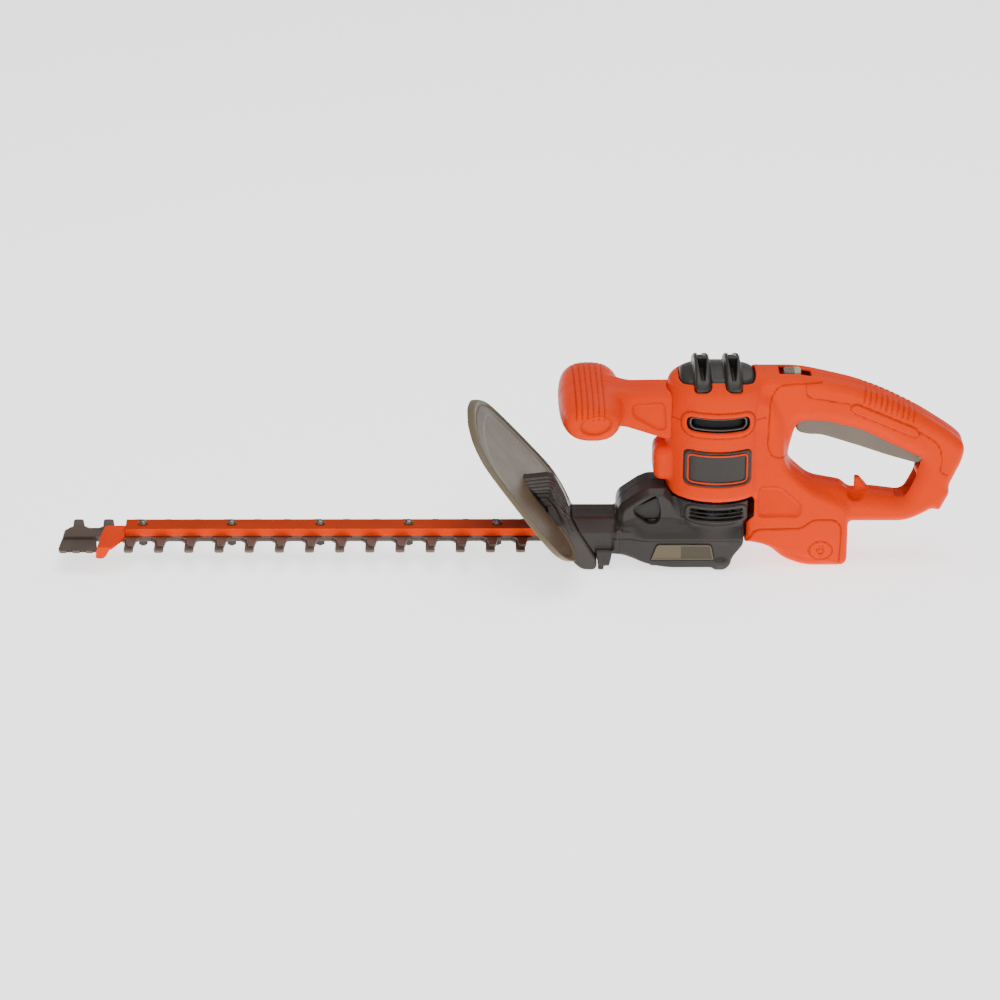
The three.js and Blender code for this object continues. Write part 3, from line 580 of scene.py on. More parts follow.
def cord_channel(room):
    """The hollow beside the hook, where a doubled cord lies."""
    at = CORD_CHANNEL
    return np.sqrt(
        (room.x - at["x"]) ** 2 + (room.s - at["s"]) ** 2 + (room.z - at["z"]) ** 2) - at["r"]


def cord_tunnel(room):
    """The passage from the hand loop out through the back of the handle."""
    return run_out(room, CORD_TUNNEL, PAST_SPLIT, 11.5, r=4)


def handle_field(room):
    body = both(room.side(HANDLE_OUTER), room.s - HANDLE_HALF, r=9)
    body = without(body, room.side(HAND_LOOP), r=15)
    hook = both(room.side(CORD_HOOK), room.s - HOOK_HALF, r=1.5)
    return either(without(body, cord_channel(room), r=1.5), hook, r=1.2)


def grip_ribs(count=10):
    """The short lines across the side of the rear grip, from the first to the last."""
    lines = []
    for i in range(count):
        share = i / (count - 1)
        foot = np.array([134.6 + 46.4 * share, 161.2 - 18.6 * share])
        lines.append([foot, foot + [4.2, 18.5 + 1.5 * math.sin(math.pi * share)]])
    return lines


def plug_symbol():
    """A plain pictogram of a plug: a rounded body, two prongs and a lead."""
    x, z = PLUG_RING["x"], PLUG_RING["z"]
    arc = [(x + 3.4 * math.cos(a), z + 1 - 4.2 * math.sin(a)) for a in np.linspace(0, math.pi, 9)]
    prongs = [[(at, z + 1), (at, z + 4.4)] for at in (x - 1.5, x + 1.5)]
    return [arc + [arc[0]], *prongs, [(x, z - 3.2), (x, z - 6.2)]]


def side_marks(room):
    """Panel lines, ribs, pad and recesses on the side of the body: (how far in, how dark)."""
    ring = ellipse_gap(room.x - PLUG_RING["x"], room.z - PLUG_RING["z"], PLUG_RING)
    lines = highest(
        line_mark(ring, 1.0),
        *[line_mark(room.line(points), 1.25) for points in PANEL_LINES],
        *[line_mark(room.line(points), 0.9) for points in plug_symbol()])
    ribs = highest(*[line_mark(room.line(points), 1.5) for points in grip_ribs()])
    pad, recess, inlet = room.side(GRIP_PAD), room.side(REAR_RECESS), room.side(INLET_PANEL)
    pad_rim = line_mark(pad, 1.3)
    depth = 0.55 * lines - 0.8 * ramp(-pad, 0, 1.5) + 0.35 * pad_rim
    depth = depth + 1.8 * ramp(-recess, -0.6, 2.6) - 0.5 * ramp(-inlet, -0.2, 1.2)
    # painted shade inside the rear recess and along its edge
    recess_dark = highest(0.45 * line_mark(recess - 0.4, 2.0), 0.16 * ramp(-recess, -0.5, 1.5))
    dark = highest(lines, pad_rim, recess_dark)
    face, over_top = ramp(room.s, 9, 15), ramp(room.s, 2, 7)
    return depth * face + 0.55 * ribs * over_top, highest(dark * face, 0.8 * ribs * over_top)


def barrel_marks(room):
    """The raised lips round the vent, and the crease round the barrel: (how far in, how dark)."""
    near = ramp(room.s, 4, 9) * ramp(room.rho(), 41, 43.5)
    vent = room.side(VENT_MOUTH)
    lip = ramp(vent, -1, 1) * (1 - ramp(vent, 3.6, 4.8))
    groove = line_mark(vent - 5.2, 1.3)
    crease = line_mark(room.z - BARREL_CREASE_Z, 1.2) * ramp(vent, 5, 6)
    crease = crease * (1 - ramp(np.abs(room.x), 44.5, 46))
    return near * (0.45 * groove + 0.5 * crease - 0.7 * lip), near * highest(groove, crease)


def shell_rooms(room):
    """The hollow inside of the body halves, less the bearing's web."""
    web = highest(between(room.z, *BEARING_WEB), room.rho() - 44.5, 11.5 - room.rho())
    motor = without(turned(room, MOTOR_ROOM), web)
    grip = run_out(room, GRIP_ROOM, PAST_SPLIT, HANDLE_HALF - GRIP_WALL, r=6)
    rear = run_out(room, REAR_ROOM, PAST_SPLIT, REAR_HALF - REAR_WALL, r=3)
    return either(either(motor, grip), rear)


def shell_openings(room):
    """Everything that opens the body halves, with the radius of its edge."""
    vent = run_out(room, VENT_MOUTH, *VENT_DEPTH)
    button = highest(between(room.x, 59, 86.5), room.s - 8, 174 - room.z)
    scoop = highest(between(room.x, 57.5, 88.5), room.s - 10.5, 184.2 - room.z)
    trigger = run_out(room, TRIGGER_SLOT, PAST_SPLIT, TRIGGER_SLOT_HALF)
    mouth = highest(between(room.x, 96, 140), room.s - 15, between(room.z, 8, 36))
    badge = highest(room.side(BADGE_POCKET), 44.9 - room.rho(), 10 - room.s)
    cap = highest(room.plan(CAP_SEAT), 176.4 - room.z)
    ridge_side = room.front(RIDGE_SEAT)
    ridges = [
        (highest(room.plan(rectangle(x - 7.7, x + 7.7, -42, 42, 5.3)), ridge_side), 0.7) for x in RIDGES
    ]
    under = highest(room.x - 27.5, room.s - 60, room.z - 60)
    pivot = highest(room.bore(*TRIGGER_PIVOT) - 2.9, room.s - 13.6)
    return [
        (vent, 1.3), (button, 0.8), (scoop, 2.2), (trigger, 0.8), (mouth, 1.2), (cord_tunnel(room), 1.6),
        (badge, 1.0), (cap, 0.7), *ridges, (turned(room, DRUM_SEAT), 0.5), (under, 0), (pivot, 0),
    ]


def body_shells():
    room = Room((-60, 0, -1), (234, 48, 190), SHELL_STEP)
    rear = both(room.side(REAR_SIDE), room.s - REAR_HALF, r=6)
    field = either(either(handle_field(room), rear, r=5), barrel_field(room), r=5)
    depth, dark = side_marks(room)
    barrel_depth, barrel_dark = barrel_marks(room)
    rooms = shell_rooms(room)
    field = opened(without(field + depth + barrel_depth, rooms), shell_openings(room))
    field = both(field, SPLIT - room.s, r=0.6)
    # painted shade in the cord tunnel, inside the shell and in the cord channel, with the dark lines of the
    # side and barrel marks
    dark = highest(
        dark, barrel_dark, 0.85 * ramp(-cord_tunnel(room), -1.2, 0.6), 0.8 * ramp(-rooms, -1.2, 0.2),
        0.45 * ramp(-cord_channel(room), -1.0, 1.0))
    moulded("left_shell_skin", room, field, "orange_plastic", ["left_shell"], LEFT, crease=dark)
    wells = [(highest(room.bore(x, z) - SCREW_WELL_R, SCREW_SEAT + 0.1 - room.s), 0.8) for x, z in SCREWS]
    field = opened(field, wells)
    moulded("right_shell_skin", room, field, "orange_plastic", ["right_shell"], RIGHT, crease=dark)
    for i, (x, z) in enumerate(SCREWS):
        screw = crosshead_screw(f"housing_screw_{i + 1}")
        lay_across(screw, (x, SCREW_SEAT, z))
        dress(screw, None, material="bright_steel")


def crosshead_screw(name):
    """A pan head with a cross recess, its axis along +Z and its foot at the origin."""
    reach = SCREW_R + 1
    room = Room((-reach, -reach, -1), (reach, reach, SCREW_HEIGHT + 1), SCREW_STEP)
    dome = np.sqrt(room.rho() ** 2 + (room.z - SCREW_HEIGHT + 7) ** 2) - 7
    head = both(both(room.rho() - SCREW_R, dome, r=0.3), -room.z)
    along, over = np.abs(room.x), np.abs(room.s)
    cross = np.minimum(highest(along - 0.55, over - 2.3), highest(over - 0.55, along - 2.3))
    recess = highest(cross, SCREW_HEIGHT - 1.3 - room.z)
    return mesh_object(name, *skin_of(room, without(head, recess, r=0.15)))


# ---- front T-handle ----
# the bar's section is a superellipse of the power "square", and narrows as the shares of its half length tell
BAR = {"x": -116.6, "z": 155.6, "rx": 29.6, "rz": 20.8, "half": 66, "square": 2.4}
BAR_WIDTHS = ([0, 0.35, 0.6, 0.78, 0.9, 1.0, 1.3], [1, 0.985, 0.94, 0.875, 0.79, 0.64, 0.2])
BAR_INSIDE = {"share": 0.86, "half": 56}
END_RECESS = {"x": -113.5, "z": 156, "rx": 14, "rz": 8.4, "tilt": 10}
ARM_SIDE = [
    (-30, 171.6), (-100, 170.6), (-112, 140), (-90, 138, 4), (-48, 124.3, 2), (-30, 122),
]
ARM_ROOM = [(-44, 168), (-100, 167), (-106, 143), (-90, 141.5), (-49, 128), (-44, 127.5)]
ARM_WALL = 3.4
ARM_RECESS = [(-78.1, 158.9, 5), (-48.6, 160.6, 5), (-46.8, 135, 5), (-55, 135, 4), (-77.4, 147.5, 5)]
GROOVES = {"count": 6, "first": -131.4, "pitch": 5.1}


def front_handle():
    """A bar with a squarish section that narrows to its ends, on an arm ahead of the motor."""
    room = Room((-149, 0, 120), (-34, 66, 178), FINE_STEP)
    full = np.interp(room.s / BAR["half"], *BAR_WIDTHS).astype(np.float32)
    across, up = np.abs(room.x - BAR["x"]) / BAR["rx"], np.abs(room.z - BAR["z"]) / BAR["rz"]
    section = (across ** BAR["square"] + up ** BAR["square"]) ** (1 / BAR["square"])
    bar = both((section - full) * BAR["rz"] * 0.92, room.s - BAR["half"], r=5)
    arm = both(room.side(ARM_SIDE), room.s - HANDLE_HALF, r=6)
    grooves = grip_grooves(room)
    recess = room.side(ARM_RECESS)
    face = ramp(room.s, 10, 15) * (1 - ramp(room.s, 21, 24))
    end, end_face = end_recess(room), ramp(room.s, 54, 58)
    field = either(arm, bar, r=9) + 0.35 * grooves
    field = field + 2.0 * face * ramp(-recess, -0.7, 2.8)
    field = field + 2.2 * end_face * ramp(-end, -0.8, 2.0)
    arm_room = run_out(room, ARM_ROOM, PAST_SPLIT, HANDLE_HALF - ARM_WALL, r=3)
    bar_room = both((section - full * BAR_INSIDE["share"]) * BAR["rz"], room.s - BAR_INSIDE["half"])
    field = without(field, either(arm_room, bar_room))
    field = without(field, room.rho() - BARREL_R - BARREL_GAP, r=0.5)
    field = both(field, SPLIT - room.s, r=0.5)
    # painted shade along the edges of the arm's recess and the bar's end recess; the grooves are dark lines
    recess_edge = 0.5 * face * line_mark(recess - 0.3, 1.8)
    dark = highest(grooves, recess_edge, 0.6 * end_face * line_mark(end, 1.6))
    for name, side in halves("front_handle"):
        moulded(name + "_skin", room, field, "orange_plastic", [name], side, crease=dark)


def grip_grooves(room):
    """Grooves along the bar, over its top and down its end."""
    marks = 0
    for i in range(GROOVES["count"]):
        gap = room.x - GROOVES["first"] - GROOVES["pitch"] * i
        marks = highest(marks, line_mark(gap, 1.15))
    return marks * (ramp(room.z, 158, 164) * (1 - ramp(room.x, -104, -102)))


def end_recess(room):
    """Distance from the tilted oval recess in the end of the bar."""
    tilt = math.radians(END_RECESS["tilt"])
    cos, sin = math.cos(tilt), math.sin(tilt)
    a, b = room.x - END_RECESS["x"], room.z - END_RECESS["z"]
    return ellipse_gap(a * cos + b * sin, b * cos - a * sin, END_RECESS)


# ---- vent cap ----
RIDGE_SIDE = mirrored([
    (9, 199, 7), (20, 196, 7), (31, 191.5, 6), (38, 187, 4), (41.6, 182, 3), (41.6, 178.6), (36, 178.6),
    (36, 173.4),
])
TRENCH_FLOOR = 188.5
TRENCH_WEB = 2.5            # half of the wall that parts each ridge's two trenches


def vent_cap():
    """A domed pad with two ridges across it, each cut by two trenches that a thin web parts."""
    room = Room((-36, -44, 173), (36, 44, 199.5), FINE_STEP)
    crown = room.z - 190.4 + 0.005 * room.s ** 2 + 0.0035 * room.x ** 2
    field = both(both(room.plan(rectangle(-35.2, 34.8, -30, 30, 20)), crown, r=4), 176.8 - room.z)
    side = room.front(RIDGE_SIDE)
    for x in RIDGES:
        ridge_plan = room.plan(rectangle(x - 7.3, x + 7.3, -41.6, 41.6, 5))
        field = either(field, both(side, ridge_plan, r=3), r=2.2)
    dark = 0
    for x in RIDGES:
        slope = np.abs(room.x - x) - 1.2 - 0.27 * highest(room.z - TRENCH_FLOOR, 0)
        trench = highest(slope, TRENCH_FLOOR - room.z, TRENCH_WEB - np.abs(room.s))
        field = without(field, trench, r=0.8)
        # painted shade inside each trench
        dark = highest(dark, ramp(-trench, -1.2, -0.2))
    inside = highest(np.abs(room.x) - 26, np.abs(room.s) - 18, room.z - 184)
    field = without(field, inside, r=0.5)
    moulded("vent_cap_skin", room, field, "charcoal_plastic", ["vent_cap"], crease=dark)


# ---- gear case ----
CASE_SIDE = [
    (-95, 15), (-70, 8, 10), (-46, 2.6, 10), (-3, 2.6, 2), (0, 0.2, 3), (10, 0.2, 4), (14, 6.5, 3),
    (17, 14, 4), (23, 21.5, 4), (26.8, 27, 4), (26.8, 36, 4), (25, 46), (-72, 46), (-92, 40),
]
CASE_PLAN = [
    (-110, -20), (28, -20), (28, 36), (-66, 36, 10), (-80, 28, 10), (-110, 28),
]
HUMP_SIDE = [
    (-91, 36), (-90.7, 54, 2), (-88.5, 61, 4), (-70.7, 73.7, 3), (-62, 77.5, 3), (-46.5, 77.5, 2),
    (-38, 69.7), (-20, 36),
]
NECK_SIDE = [(-152, 12), (-94, 14.5, 3), (-78, 14), (-78, 47.5), (-152, 47.5)]
COLLAR_SIDE = rectangle(-96, -86, 14.5, 39, 2)
DRUM = [(-20, 30), (34, 30), (34.5, 44), (DRUM_R, 53), (DRUM_R, 69.7), (-20, 69.7)]
LUG_SIDE = [(-110, 20), (-110, 5.5, 1), (-98, 3.6, 1.5), (-94, 20)]
NUB_SIDE = rectangle(-108.4, -103, 0.4, 7, 1)
FOOT = {"x": 5.5, "s": 29.6, "z": 7.8, "rx": 9.6, "rs": 7.2, "rz": 7}
POCKET = [(-55, 72, 4), (-50.7, 56, 4), (-52.5, 46, 6), (-61, 44, 6), (-74, 52.5, 5), (-76.2, 58.5, 4)]
POCKET_FLOOR = 21
POCKET_BAR = {"from": (-82, 54.5), "to": (-43, 72.7), "r": 1.6}
LOUVRE_ZONE = rectangle(-25, 25, 52, 63.6, 4)
LOUVRE_FEET = (52.6, 56.6, 60.6)
NAMEPLATE = [(-59.5, 11.5), (-1, 11.5), (-4, 26.5, 3), (-54, 26.5, 3)]
NAMEPLATE_RECESS = [(-59.8, 11.2), (-0.7, 11.2), (-3.8, 26.8, 3), (-54.3, 26.8, 3)]
SEAMS = (-95.5, -88.5)
GEAR_ROOM = [(-69, 5), (11, 5), (21, 20), (21, 43.6), (-69, 43.6)]
FAN_ROOM = [(-20, 40), (31, 40), (31, 46.2), (40.2, 53), (40.2, 80), (-20, 80)]
CASE_WALL = 2.2
BRACKET_SEAT = [(-300, -60), (-108.7, -60), (-108.7, 9), (-142.2, 62), (-142.2, 99), (-300, 99)]
BASE_SEAT = rectangle(-60.3, 10.3, -22.3, 22.3, 4)


def case_body(room):
    side, hump_side = room.side(CASE_SIDE), room.side(HUMP_SIDE)
    slope = (room.s - CASE_HALF + 0.5 * highest(room.z - 31, 0)) * 0.9
    lower = both(both(side, slope, r=3), room.plan(CASE_PLAN), r=4)
    facet = (hump_side + (room.s - HUMP_HALF) + 5.5) / math.sqrt(2)
    hump = both(both(hump_side, room.s - HUMP_HALF, r=0.8), facet, r=0.8)
    neck_top = (room.s - 28 + 1.05 * highest(room.z - 36, 0)) * 0.72
    neck = both(room.side(NECK_SIDE), neck_top, r=2.5)
    collar = both(both(side, room.s - 30, r=2), room.side(COLLAR_SIDE), r=1)
    field = either(either(lower, turned(room, DRUM), r=5), hump, r=5)
    field = either(either(field, neck, r=3), collar, r=1.5)
    lug = run_out(room, LUG_SIDE, PAST_SPLIT, LUG_HALF, r=2)
    nub = run_out(room, NUB_SIDE, 27.5, LUG_HALF - 0.5, r=0.8)
    foot = np.sqrt(
        ((room.x - FOOT["x"]) / FOOT["rx"]) ** 2 + ((room.s - FOOT["s"]) / FOOT["rs"]) ** 2
        + ((room.z - FOOT["z"]) / FOOT["rz"]) ** 2) * FOOT["rz"] - FOOT["rz"]
    return either(either(either(field, lug, r=2), nub, r=0.5), foot, r=1.5)


def case_openings(room, body):
    """Everything that opens the gear case, with the radius of its edge."""
    within = body + CASE_WALL
    gears = highest(run_out(room, GEAR_ROOM, PAST_SPLIT, 31), within)
    fan = highest(turned(room, FAN_ROOM), within - 100 * ramp(room.z, 50, 52))
    plate = highest(between(room.x, -64.8, 26), room.s - 20.4, between(room.z, 43.4, 46.5))
    blades = highest(room.x + 60, room.s - 15, between(room.z, 12, 36.5))
    barrel = highest(room.rho() - BARREL_R - BARREL_GAP, 69.9 - room.z, 20 - room.rho())
    base = run_out(room, BASE_SEAT, -5, 3.1, plane="XS")
    boss = highest(room.rho(-34.2) - 8.3, room.z - 9)
    screw = highest(room.rho(-104, 22) - 3.5, room.z - 9.2)
    louvres = [
        (run_out(room, rectangle(-24, 24, z, z + 2.5, 1.1), 20, 60), 0.5) for z in LOUVRE_FEET
    ]
    return [
        (gears, 0), (fan, 0), (plate, 0), (blades, 0.8), (barrel, 0.5), (room.side(BRACKET_SEAT), 0.5),
        (base, 0.4), (boss, 0), (screw, 0.4), *louvres,
    ]


def case_marks(room):
    """The vent surround, skirt line, nameplate recess and seams of the gear case: (how far in, how dark)."""
    face, flat = ramp(room.s, 20, 24), ramp(room.s, 33, 35)
    vents = room.side(LOUVRE_ZONE)
    rim = ramp(vents, 0.2, 1.4) * (1 - ramp(vents, 3.4, 4.6))
    plate = room.side(NAMEPLATE_RECESS)
    skirt = line_mark(room.z - 30.2, 1.1) * (1 - ramp(room.z, 31, 33))
    skirt = skirt * ramp(room.s, 24, 26) * ramp(-np.abs(room.x + 36), -60, -58)
    seams = highest(*[line_mark(room.x - x, 1.0) * (1 - ramp(room.z, 36, 38)) for x in SEAMS])
    seams = seams * ramp(room.s, 22, 25)
    depth = face * (1.0 * ramp(-vents, -0.4, 0.6) - 0.9 * rim) + 1.5 * flat * ramp(-plate, -0.3, 0.5)
    depth = depth + 0.5 * skirt + 0.4 * seams
    return depth, highest(0.8 * skirt, seams, flat * line_mark(plate, 1.0))


def gear_case():
    room = Room((-143, 0, -0.5), (28, 46, 78), FINE_STEP)
    body = case_body(room)
    depth, dark = case_marks(room)
    pocket = run_out(room, POCKET, POCKET_FLOOR, 60)
    # painted shade in the louvre zone and inside the pocket
    louvre_dark = 0.7 * ramp(room.s, 20, 24) * ramp(-room.side(LOUVRE_ZONE), 0, 1)
    dark = highest(dark, 0.9 * ramp(-pocket, -0.8, 0.6), louvre_dark)
    bar = segment_distance(room.x, room.z, POCKET_BAR["from"], POCKET_BAR["to"]) ** 0.5 - POCKET_BAR["r"]
    bar = both(highest(bar, pocket), room.s - 23.8, r=0.8)
    field = either(without(body + depth, pocket, r=1.6), bar, r=0.8)
    field = opened(field, case_openings(room, body))
    field = both(field, SPLIT - room.s, r=0.5)
    for name, side in halves("gear_case"):
        moulded(name + "_skin", room, field, "charcoal_plastic", [name], side, crease=dark)


# ---- hand guard and bracket ----
GUARD = {"foot_x": -140.4, "foot_z": 32, "lean": 1.218, "thick": 3.2}
GUARD_FACE = mirrored([
    (22, 141, 12), (58, 136, 18), (83, 124, 16), (93, 104, 14), (101, 80, 16), (107, 58, 12),
    (106, 45, 8), (93, 34, 12), (74, 26, 8), (55, 25, 6), (42, 29, 6), (32, 41),
])
BRACKET_SIDE = [
    (-133, 9, 3), (-168, 62, 3), (-183, 80, 4), (-149, 84, 8), (-138, 62, 5), (-134, 48.6, 5),
    (-109, 9, 8), (-110, 0, 5), (-124, 0, 6),
]
BRACKET_PANEL = [(-161, 61, 4), (-149.5, 63, 4), (-131, 23, 4), (-134, 17.5, 3), (-138.5, 20, 4)]
BRACKET_BEND = [(-184, 72), (-154, 73), (-144, 60), (-132, 38)]
CROWN_STEPS = (6, 10.5, 15, 19.5)
CROWN_RISE = 1.7


def bracket_field(room, grow=0.0):
    """The bracket's body; its crown steps down towards both sides."""
    side = room.side(BRACKET_SIDE) - grow
    width = np.abs(room.s) - (33 - 9 / 80 * highest(room.z, 0)) - grow
    crown = sum(CROWN_RISE * ramp(np.abs(room.s), step - 0.5, step + 0.5) for step in CROWN_STEPS)
    return both(side + crown * ramp(room.z, 44, 60), width, r=2.2)


def guard_shield():
    """A leaning plate with a thick rim, a seam inside it and a thinner middle."""
    room = Room((-243, -108, 18), (-122, 108, 143), SHELL_STEP)
    normal = math.hypot(1, 1 / GUARD["lean"])
    ahead = (room.x - GUARD["foot_x"] + (room.z - GUARD["foot_z"]) / GUARD["lean"]) / normal
    outline = room.front(GUARD_FACE)
    rim = 1 - ramp(-outline, 2.2, 3.6)
    inset = ramp(-outline, 13, 15.5)
    seam = line_mark(outline + 5.2, 1.2)
    middle = ahead - GUARD["thick"] / 2 - 0.35 * rim
    slab = np.abs(middle) - GUARD["thick"] / 2 - 1.1 * rim + 0.45 * inset + 0.35 * seam
    field = both(slab, outline * 0.9, r=1.3)
    field = without(field, bracket_field(room, -0.2), r=0.3)
    dark = highest(seam, 0.5 * line_mark(outline + 14, 1.5))
    moulded("guard_shield_skin", room, field, "taupe_plastic", ["guard_shield"], crease=dark, rim=rim)


def guard_bracket():
    room = Room((-184, -34, -0.5), (-108, 34, 86), FINE_STEP)
    half = np.abs(room.s)
    face = ramp(half, 20, 23)
    panel = room.side(BRACKET_PANEL)
    bend = room.line(BRACKET_BEND)
    ledges = highest(line_mark(bend, 1.3), line_mark(bend - 4.2, 1.3))
    ledges = face * ledges * ramp(room.z, 30, 44)
    field = bracket_field(room) + 0.7 * ledges + 1.6 * face * ramp(-panel, -0.5, 1.6)
    field = without(field, highest(half - 14, between(room.z, 12.4, 36.4)), r=0.8)
    risers = highest(*[line_mark(half - step - 0.3, 0.9) for step in CROWN_STEPS])
    # painted highlight on the crown's risers
    lit = risers * ramp(room.z, 50, 60) * ramp(half, 5, 6)
    dark = highest(0.6 * face * line_mark(panel - 0.3, 1.5), 0.5 * ledges)
    # painted highlights: the risers, and a lighter lower part of the side face
    pale = highest(0.35 * lit, 0.2 * face * (1 - ramp(room.z, 55, 70)))
    moulded("guard_bracket_skin", room, field, "charcoal_plastic", ["guard_bracket"],
            crease=dark, pale=pale)


# ---- small fitted pieces ----
TRIGGER_SIDE = [
    (73.4, 146), (73.4, 129, 6), (84, 125.6, 6), (97, 125.6, 6), (134, 113.7, 10), (160, 104.6, 10),
    (188, 96.5, 5), (195, 101, 3), (195, 108), (180, 116.5), (165, 124), (134, 137, 6), (101, 146.5, 4),
]
TRIGGER_NOTCH = [(134, 140), (134, 134), (150, 117.2), (166, 117.2), (176, 112), (190, 112), (190, 140)]
TRIGGER_PIN = [(0, -13), (2.3, -13), (2.5, -12.8), (2.5, 12.8), (2.3, 13), (0, 13)]
KNOB_SPLIT_X = 70.6         # where the lock-off knob's pale half starts


def badges():
    """A blank badge with a raised border line on each side of the barrel."""
    room = Room((-33, 28, 86), (33, 48.5, 124), PLATE_STEP)
    plan = room.side(rectangle(-31.4, 31.4, 88, 122, 6))
    line = room.side(rectangle(-27.4, 27.4, 91.3, 118.2, 4.5))
    rho = room.rho()
    face = BARREL_R - 0.2 - 0.5 * ramp(-line, 0.3, 1.4) + 0.9 * ramp(line, 1.0, 2.6)
    plate = both(both(plan, rho - face, r=0.7), 45.15 - 0.9 - rho)
    border = both(np.abs(line) - 0.75, np.abs(rho - BARREL_R - 0.1) - 0.55, r=0.3)
    for name, side in halves("badge"):
        moulded(name + "_plate", room, plate, "charcoal_plastic", [name], side)
        moulded(name + "_border", room, border, "orange_plastic", [], side)


def vent_grilles():
    """The charcoal frame of each side vent, with a painted highlight on the bead round its mouth and a black
    sheet behind as painted shade.
    """
    room = Room((-32, 20, 137), (32, 45, 158), PLATE_STEP)
    plan = room.side(rectangle(-31, 31, 138.5, 156.5, 6))
    mouth = room.side(rectangle(-24.8, 24.8, 143.6, 152.6, 4.4))
    outer = room.side(rectangle(-28.4, 28.4, 141.6, 154.4, 6))
    rho = room.rho()
    bead = line_mark(mouth - 1.0, 1.0)
    body = both(plan, highest(39.4 - rho, rho - 41.3 - 1.6 * ramp(-outer, 0, 0.8) - 0.7 * bead), r=0.5)
    field = without(body, mouth, r=0.5)
    # painted shade: a black sheet behind the mouth
    shade_sheet = both(plan + 2, np.abs(rho - 38.7) - 0.5, r=0.2)
    # painted highlight along the top of the bead
    pale = bead * ramp(rho, 42, 42.6)
    for name, side in halves("vent_grille"):
        moulded(name + "_skin", room, field, "charcoal_plastic", [name], side, pale=pale)
        moulded(name + "_screen", room, shade_sheet, "black_plastic", [], side)


def nameplates():
    """A blank two-tone plate on each side of the gear case."""
    room = Room((-61, 32, 10), (0, 37.5, 28), PLATE_STEP)
    plan = room.side(NAMEPLATE)
    rim = 1 - ramp(-plan, 1.0, 1.7)
    body = both(both(plan, room.s - 35.5 - 0.45 * rim, r=0.4), 34.6 - room.s)
    pale = highest(rim, ramp(-room.x, 31.2, 31.8))
    for name, side in halves("nameplate"):
        moulded(name + "_plate", room, body, "taupe_plastic", [name], side,
                material="nameplate_plastic", pale=pale)


def trigger_piece():
    room = Room((72, 0, 93), (197, 10.5, 148), FINE_STEP)
    field = both(room.side(TRIGGER_SIDE), np.abs(room.s) - 10, r=3.4)
    field = without(field, highest(room.side(TRIGGER_NOTCH), room.s - 8.3), r=0.3)
    field = without(field, highest(room.rho(118, 0) - 4.4, 134 - room.z), r=0.4)
    piece = mesh_object("trigger_skin", *skin_of(room, highest(field, -room.s)))
    mirror = piece.modifiers.new("halves", "MIRROR")
    mirror.use_axis = (False, True, False)
    mirror.use_clip = True
    mirror.merge_threshold = 0.0006
    dress(piece, "grey_plastic", "trigger", ["trigger"])
    pin = lathe("trigger_pin", TRIGGER_PIN, 24)
    x, z = TRIGGER_PIVOT
    lay_across(pin, (x, 0, z))
    dress(pin, "grey_plastic", "trigger")


def lock_off():
    """The slide that the thumb moves, with a ribbed knob and a foot for its spring."""
    room = Room((51, -11, 174.5), (91, 11, 189.5), KNOB_STEP)
    slide = both(room.plan(rectangle(52, 90, -10, 10, 2)), between(room.z, 175.2, 176.9), r=0.5)
    ribs = 0.5 * np.cos((room.x - 69.3) * 2 * math.pi / 3.2) * ramp(room.z, 186, 187.5)
    crown = room.z - 188.4 + 0.02 * room.s ** 2 + 0.5 + ribs
    knob = both(both(room.plan(rectangle(61.4, 77.2, -7.4, 7.4, 3)), crown, r=1.6), 175.5 - room.z)
    pale = ramp(room.x, KNOB_SPLIT_X, KNOB_SPLIT_X + 0.8)
    moulded("lock_off_skin", room, either(slide, knob, r=0.6), "grey_plastic", ["lock_off_button"],
            body="lock_off_button", pale=pale)
    foot = slab_piece("lock_off_foot", rectangle(87, 90, -3, 3, 0.8), 167.5, 175.6)
    dress(foot, "grey_plastic", "lock_off_button")


def inlet_face():
    """The recessed male inlet: a block with a rounded well and the holes that its pins stand in."""
    room = Room((96, -15, 8), (122, 15, 36), FINE_STEP)
    block = highest(between(room.x, 96.4, 121.5), np.abs(room.s) - 14.6)
    block = both(block, between(room.z, 8.3, 35.7), r=1.5)
    well = run_out(room, rectangle(-11.5, 11.5, 12.5, 31.5, 7), 101, 140, plane="SZ")
    pins = highest(np.abs(np.abs(room.s) - 6.35) - 0.95, between(room.z, 18.7, 25.3))
    field = without(without(block, well, r=1.0), highest(pins, 97.5 - room.x))
    moulded("inlet_block_skin", room, field, "black_plastic", ["inlet_block"])


# ---- plates, turned pieces and the pieces that come from the frame ----
EDGE_WIDTHS = {"blade_cover": 0.5, "tip_guard": 0.6, "upper_blade": 0.35, "lower_blade": 0.35}
OTHER_FINISH = {"tip_guard": "tip_paint", "blade_nut": "nut_steel"}


def slab_piece(name, points, bottom, top):
    """An outline in plan run between two heights, with softened edges."""
    count = len(points)
    verts = [Vector((a, b, height)) * MM for height in (bottom, top) for a, b in points]
    around = [(i, (i + 1) % count, count + (i + 1) % count, count + i) for i in range(count)]
    mesh = bpy.data.meshes.new(name)
    mesh.from_pydata(verts, [], [tuple(range(count))[::-1], tuple(range(count, 2 * count))] + around)
    mesh.update()
    piece = add_object(name, mesh)
    soften(piece, 0.35)
    return piece


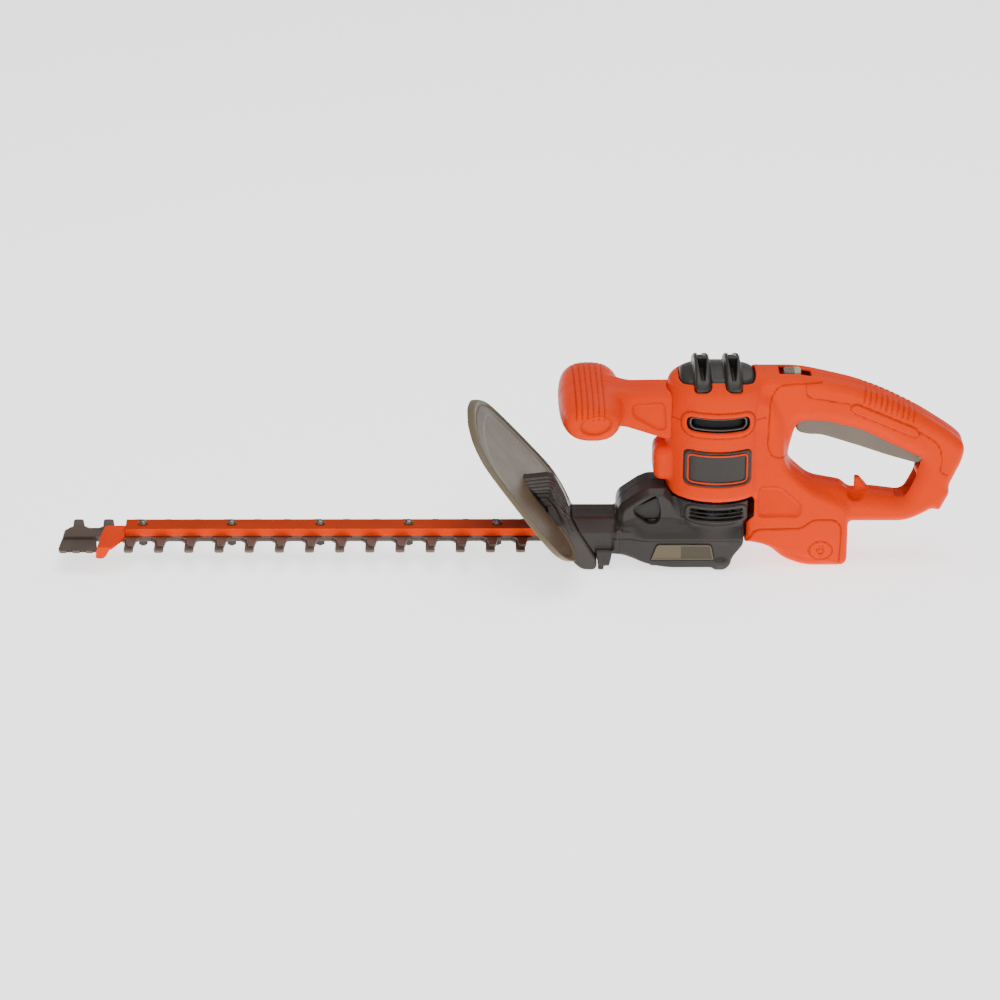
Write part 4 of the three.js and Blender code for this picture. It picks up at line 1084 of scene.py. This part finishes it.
def lathe(name, profile, sides):
    """A turned solid about +Z; profile runs from its foot on the axis to its top on the axis."""
    ring = profile[1:-1]
    angles = [2 * math.pi * i / sides for i in range(sides)]
    verts = [(r * math.cos(a), r * math.sin(a), z) for r, z in ring for a in angles]
    verts += [(0, 0, profile[0][1]), (0, 0, profile[-1][1])]
    foot, top = len(verts) - 2, len(verts) - 1
    last = (len(ring) - 1) * sides
    beside = [(i, (i + 1) % sides) for i in range(sides)]
    quads = [(k + i, k + j, k + sides + j, k + sides + i) for k in range(0, last, sides) for i, j in beside]
    tris = [tri for i, j in beside for tri in ((foot, j, i), (top, last + i, last + j))]
    piece = mesh_object(name, verts, [tris, quads])
    piece.data.set_sharp_from_angle(angle=math.radians(35))
    return piece


def soften(piece, width):
    """Rounded edges on a piece with hard ones."""
    bevel = piece.modifiers.new("edges", "BEVEL")
    bevel.width = width * MM
    bevel.segments = 2
    bevel.limit_method = "ANGLE"
    bevel.angle_limit = math.radians(30)
    bevel.harden_normals = False


def cad_finish():
    """The frame's nodes that no piece replaces get their materials, and some get softened edges."""
    slots = {row["node"]: row["material_slot"] for row in frame["record"]["subparts"]}
    for name, node in frame["nodes"].items():
        if node.hide_render:
            continue
        node.data.materials.clear()
        node.data.materials.append(MATERIALS[OTHER_FINISH.get(name.rstrip("_12345"), slots[name])])
        if name in EDGE_WIDTHS:
            soften(node, EDGE_WIDTHS[name])


# ---- stage ----
FLOOR_GLOW = 1.65           # a light table under the tool, which whitens the backdrop as in a catalogue shot
FLOOR_REACH = 12
FLOOR_DROP = 0.0006
WORLD_LIGHT = 0.22
PICTURE_WIDTH = 930         # millimetres from side to side of the picture
VIEW = {"azimuth": -1.5, "elevation": 22, "roll": 0.5, "lens": 180, "x": -199, "z": 57.2}
AIM = (-0.15, 0, 0.08)
LIGHTS = {
    "key": {"at": (-0.3, -2.4, 1.9), "size": 1.8, "power": 26},
    "top": {"at": (-0.2, -0.2, 2.2), "size": 2.2, "power": 42},
    "rear": {"at": (0.7, 1.7, 1.9), "size": 1.6, "power": 10},
}


def facing(direction):
    """The turn that makes a camera or a lamp look in a direction."""
    return direction.to_track_quat("-Z", "Y")


def camera():
    data = bpy.data.cameras.new("camera")
    data.lens = VIEW["lens"]
    data.clip_end = 100
    eye = add_object("camera", data)
    a, e = math.radians(VIEW["azimuth"]), math.radians(VIEW["elevation"])
    back = Vector((math.sin(a) * math.cos(e), -math.cos(a) * math.cos(e), math.sin(e)))
    distance = PICTURE_WIDTH * MM * data.lens / data.sensor_width
    eye.location = Vector((VIEW["x"], 0, VIEW["z"])) * MM + back * distance
    roll = Matrix.Rotation(math.radians(VIEW["roll"]), 4, "Z")
    eye.rotation_euler = (facing(-back).to_matrix().to_4x4() @ roll).to_euler()
    bpy.context.scene.camera = eye


def area_light(name, at, size, power):
    data = bpy.data.lights.new(name, "AREA")
    data.shape, data.size, data.energy = "DISK", size, power
    lamp = add_object(name, data)
    lamp.location = at
    lamp.rotation_euler = facing(Vector(AIM) - Vector(at)).to_euler()


def studio():
    mesh = bpy.data.meshes.new("floor")
    r = FLOOR_REACH
    mesh.from_pydata([(-r, -r, 0), (r, -r, 0), (r, r, 0), (-r, r, 0)], [], [(0, 1, 2, 3)])
    floor = add_object("floor", mesh)
    floor.location.z = -FLOOR_DROP
    n = Nodes("floor")
    colour = n.mixed(n.noise(3, 3), (0.86, 0.86, 0.86), (0.9, 0.9, 0.9))
    glow = {"Emission Color": (1, 1, 1, 1), "Emission Strength": FLOOR_GLOW, "Specular IOR Level": 0.1}
    mesh.materials.append(n.finish(colour, n.span(n.noise(60, 2), 0, 1, 0.75, 0.9), **glow))
    world = bpy.data.worlds.new("studio")
    world.use_nodes = True
    background = world.node_tree.nodes["Background"]
    background.inputs["Color"].default_value = (1, 1, 1, 1)
    background.inputs["Strength"].default_value = WORLD_LIGHT
    bpy.context.scene.world = world
    for name, light in LIGHTS.items():
        area_light(name, **light)


body_shells()
front_handle()
vent_cap()
gear_case()
guard_shield()
guard_bracket()
badges()
vent_grilles()
nameplates()
trigger_piece()
lock_off()
inlet_face()
cad_finish()
camera()
studio()
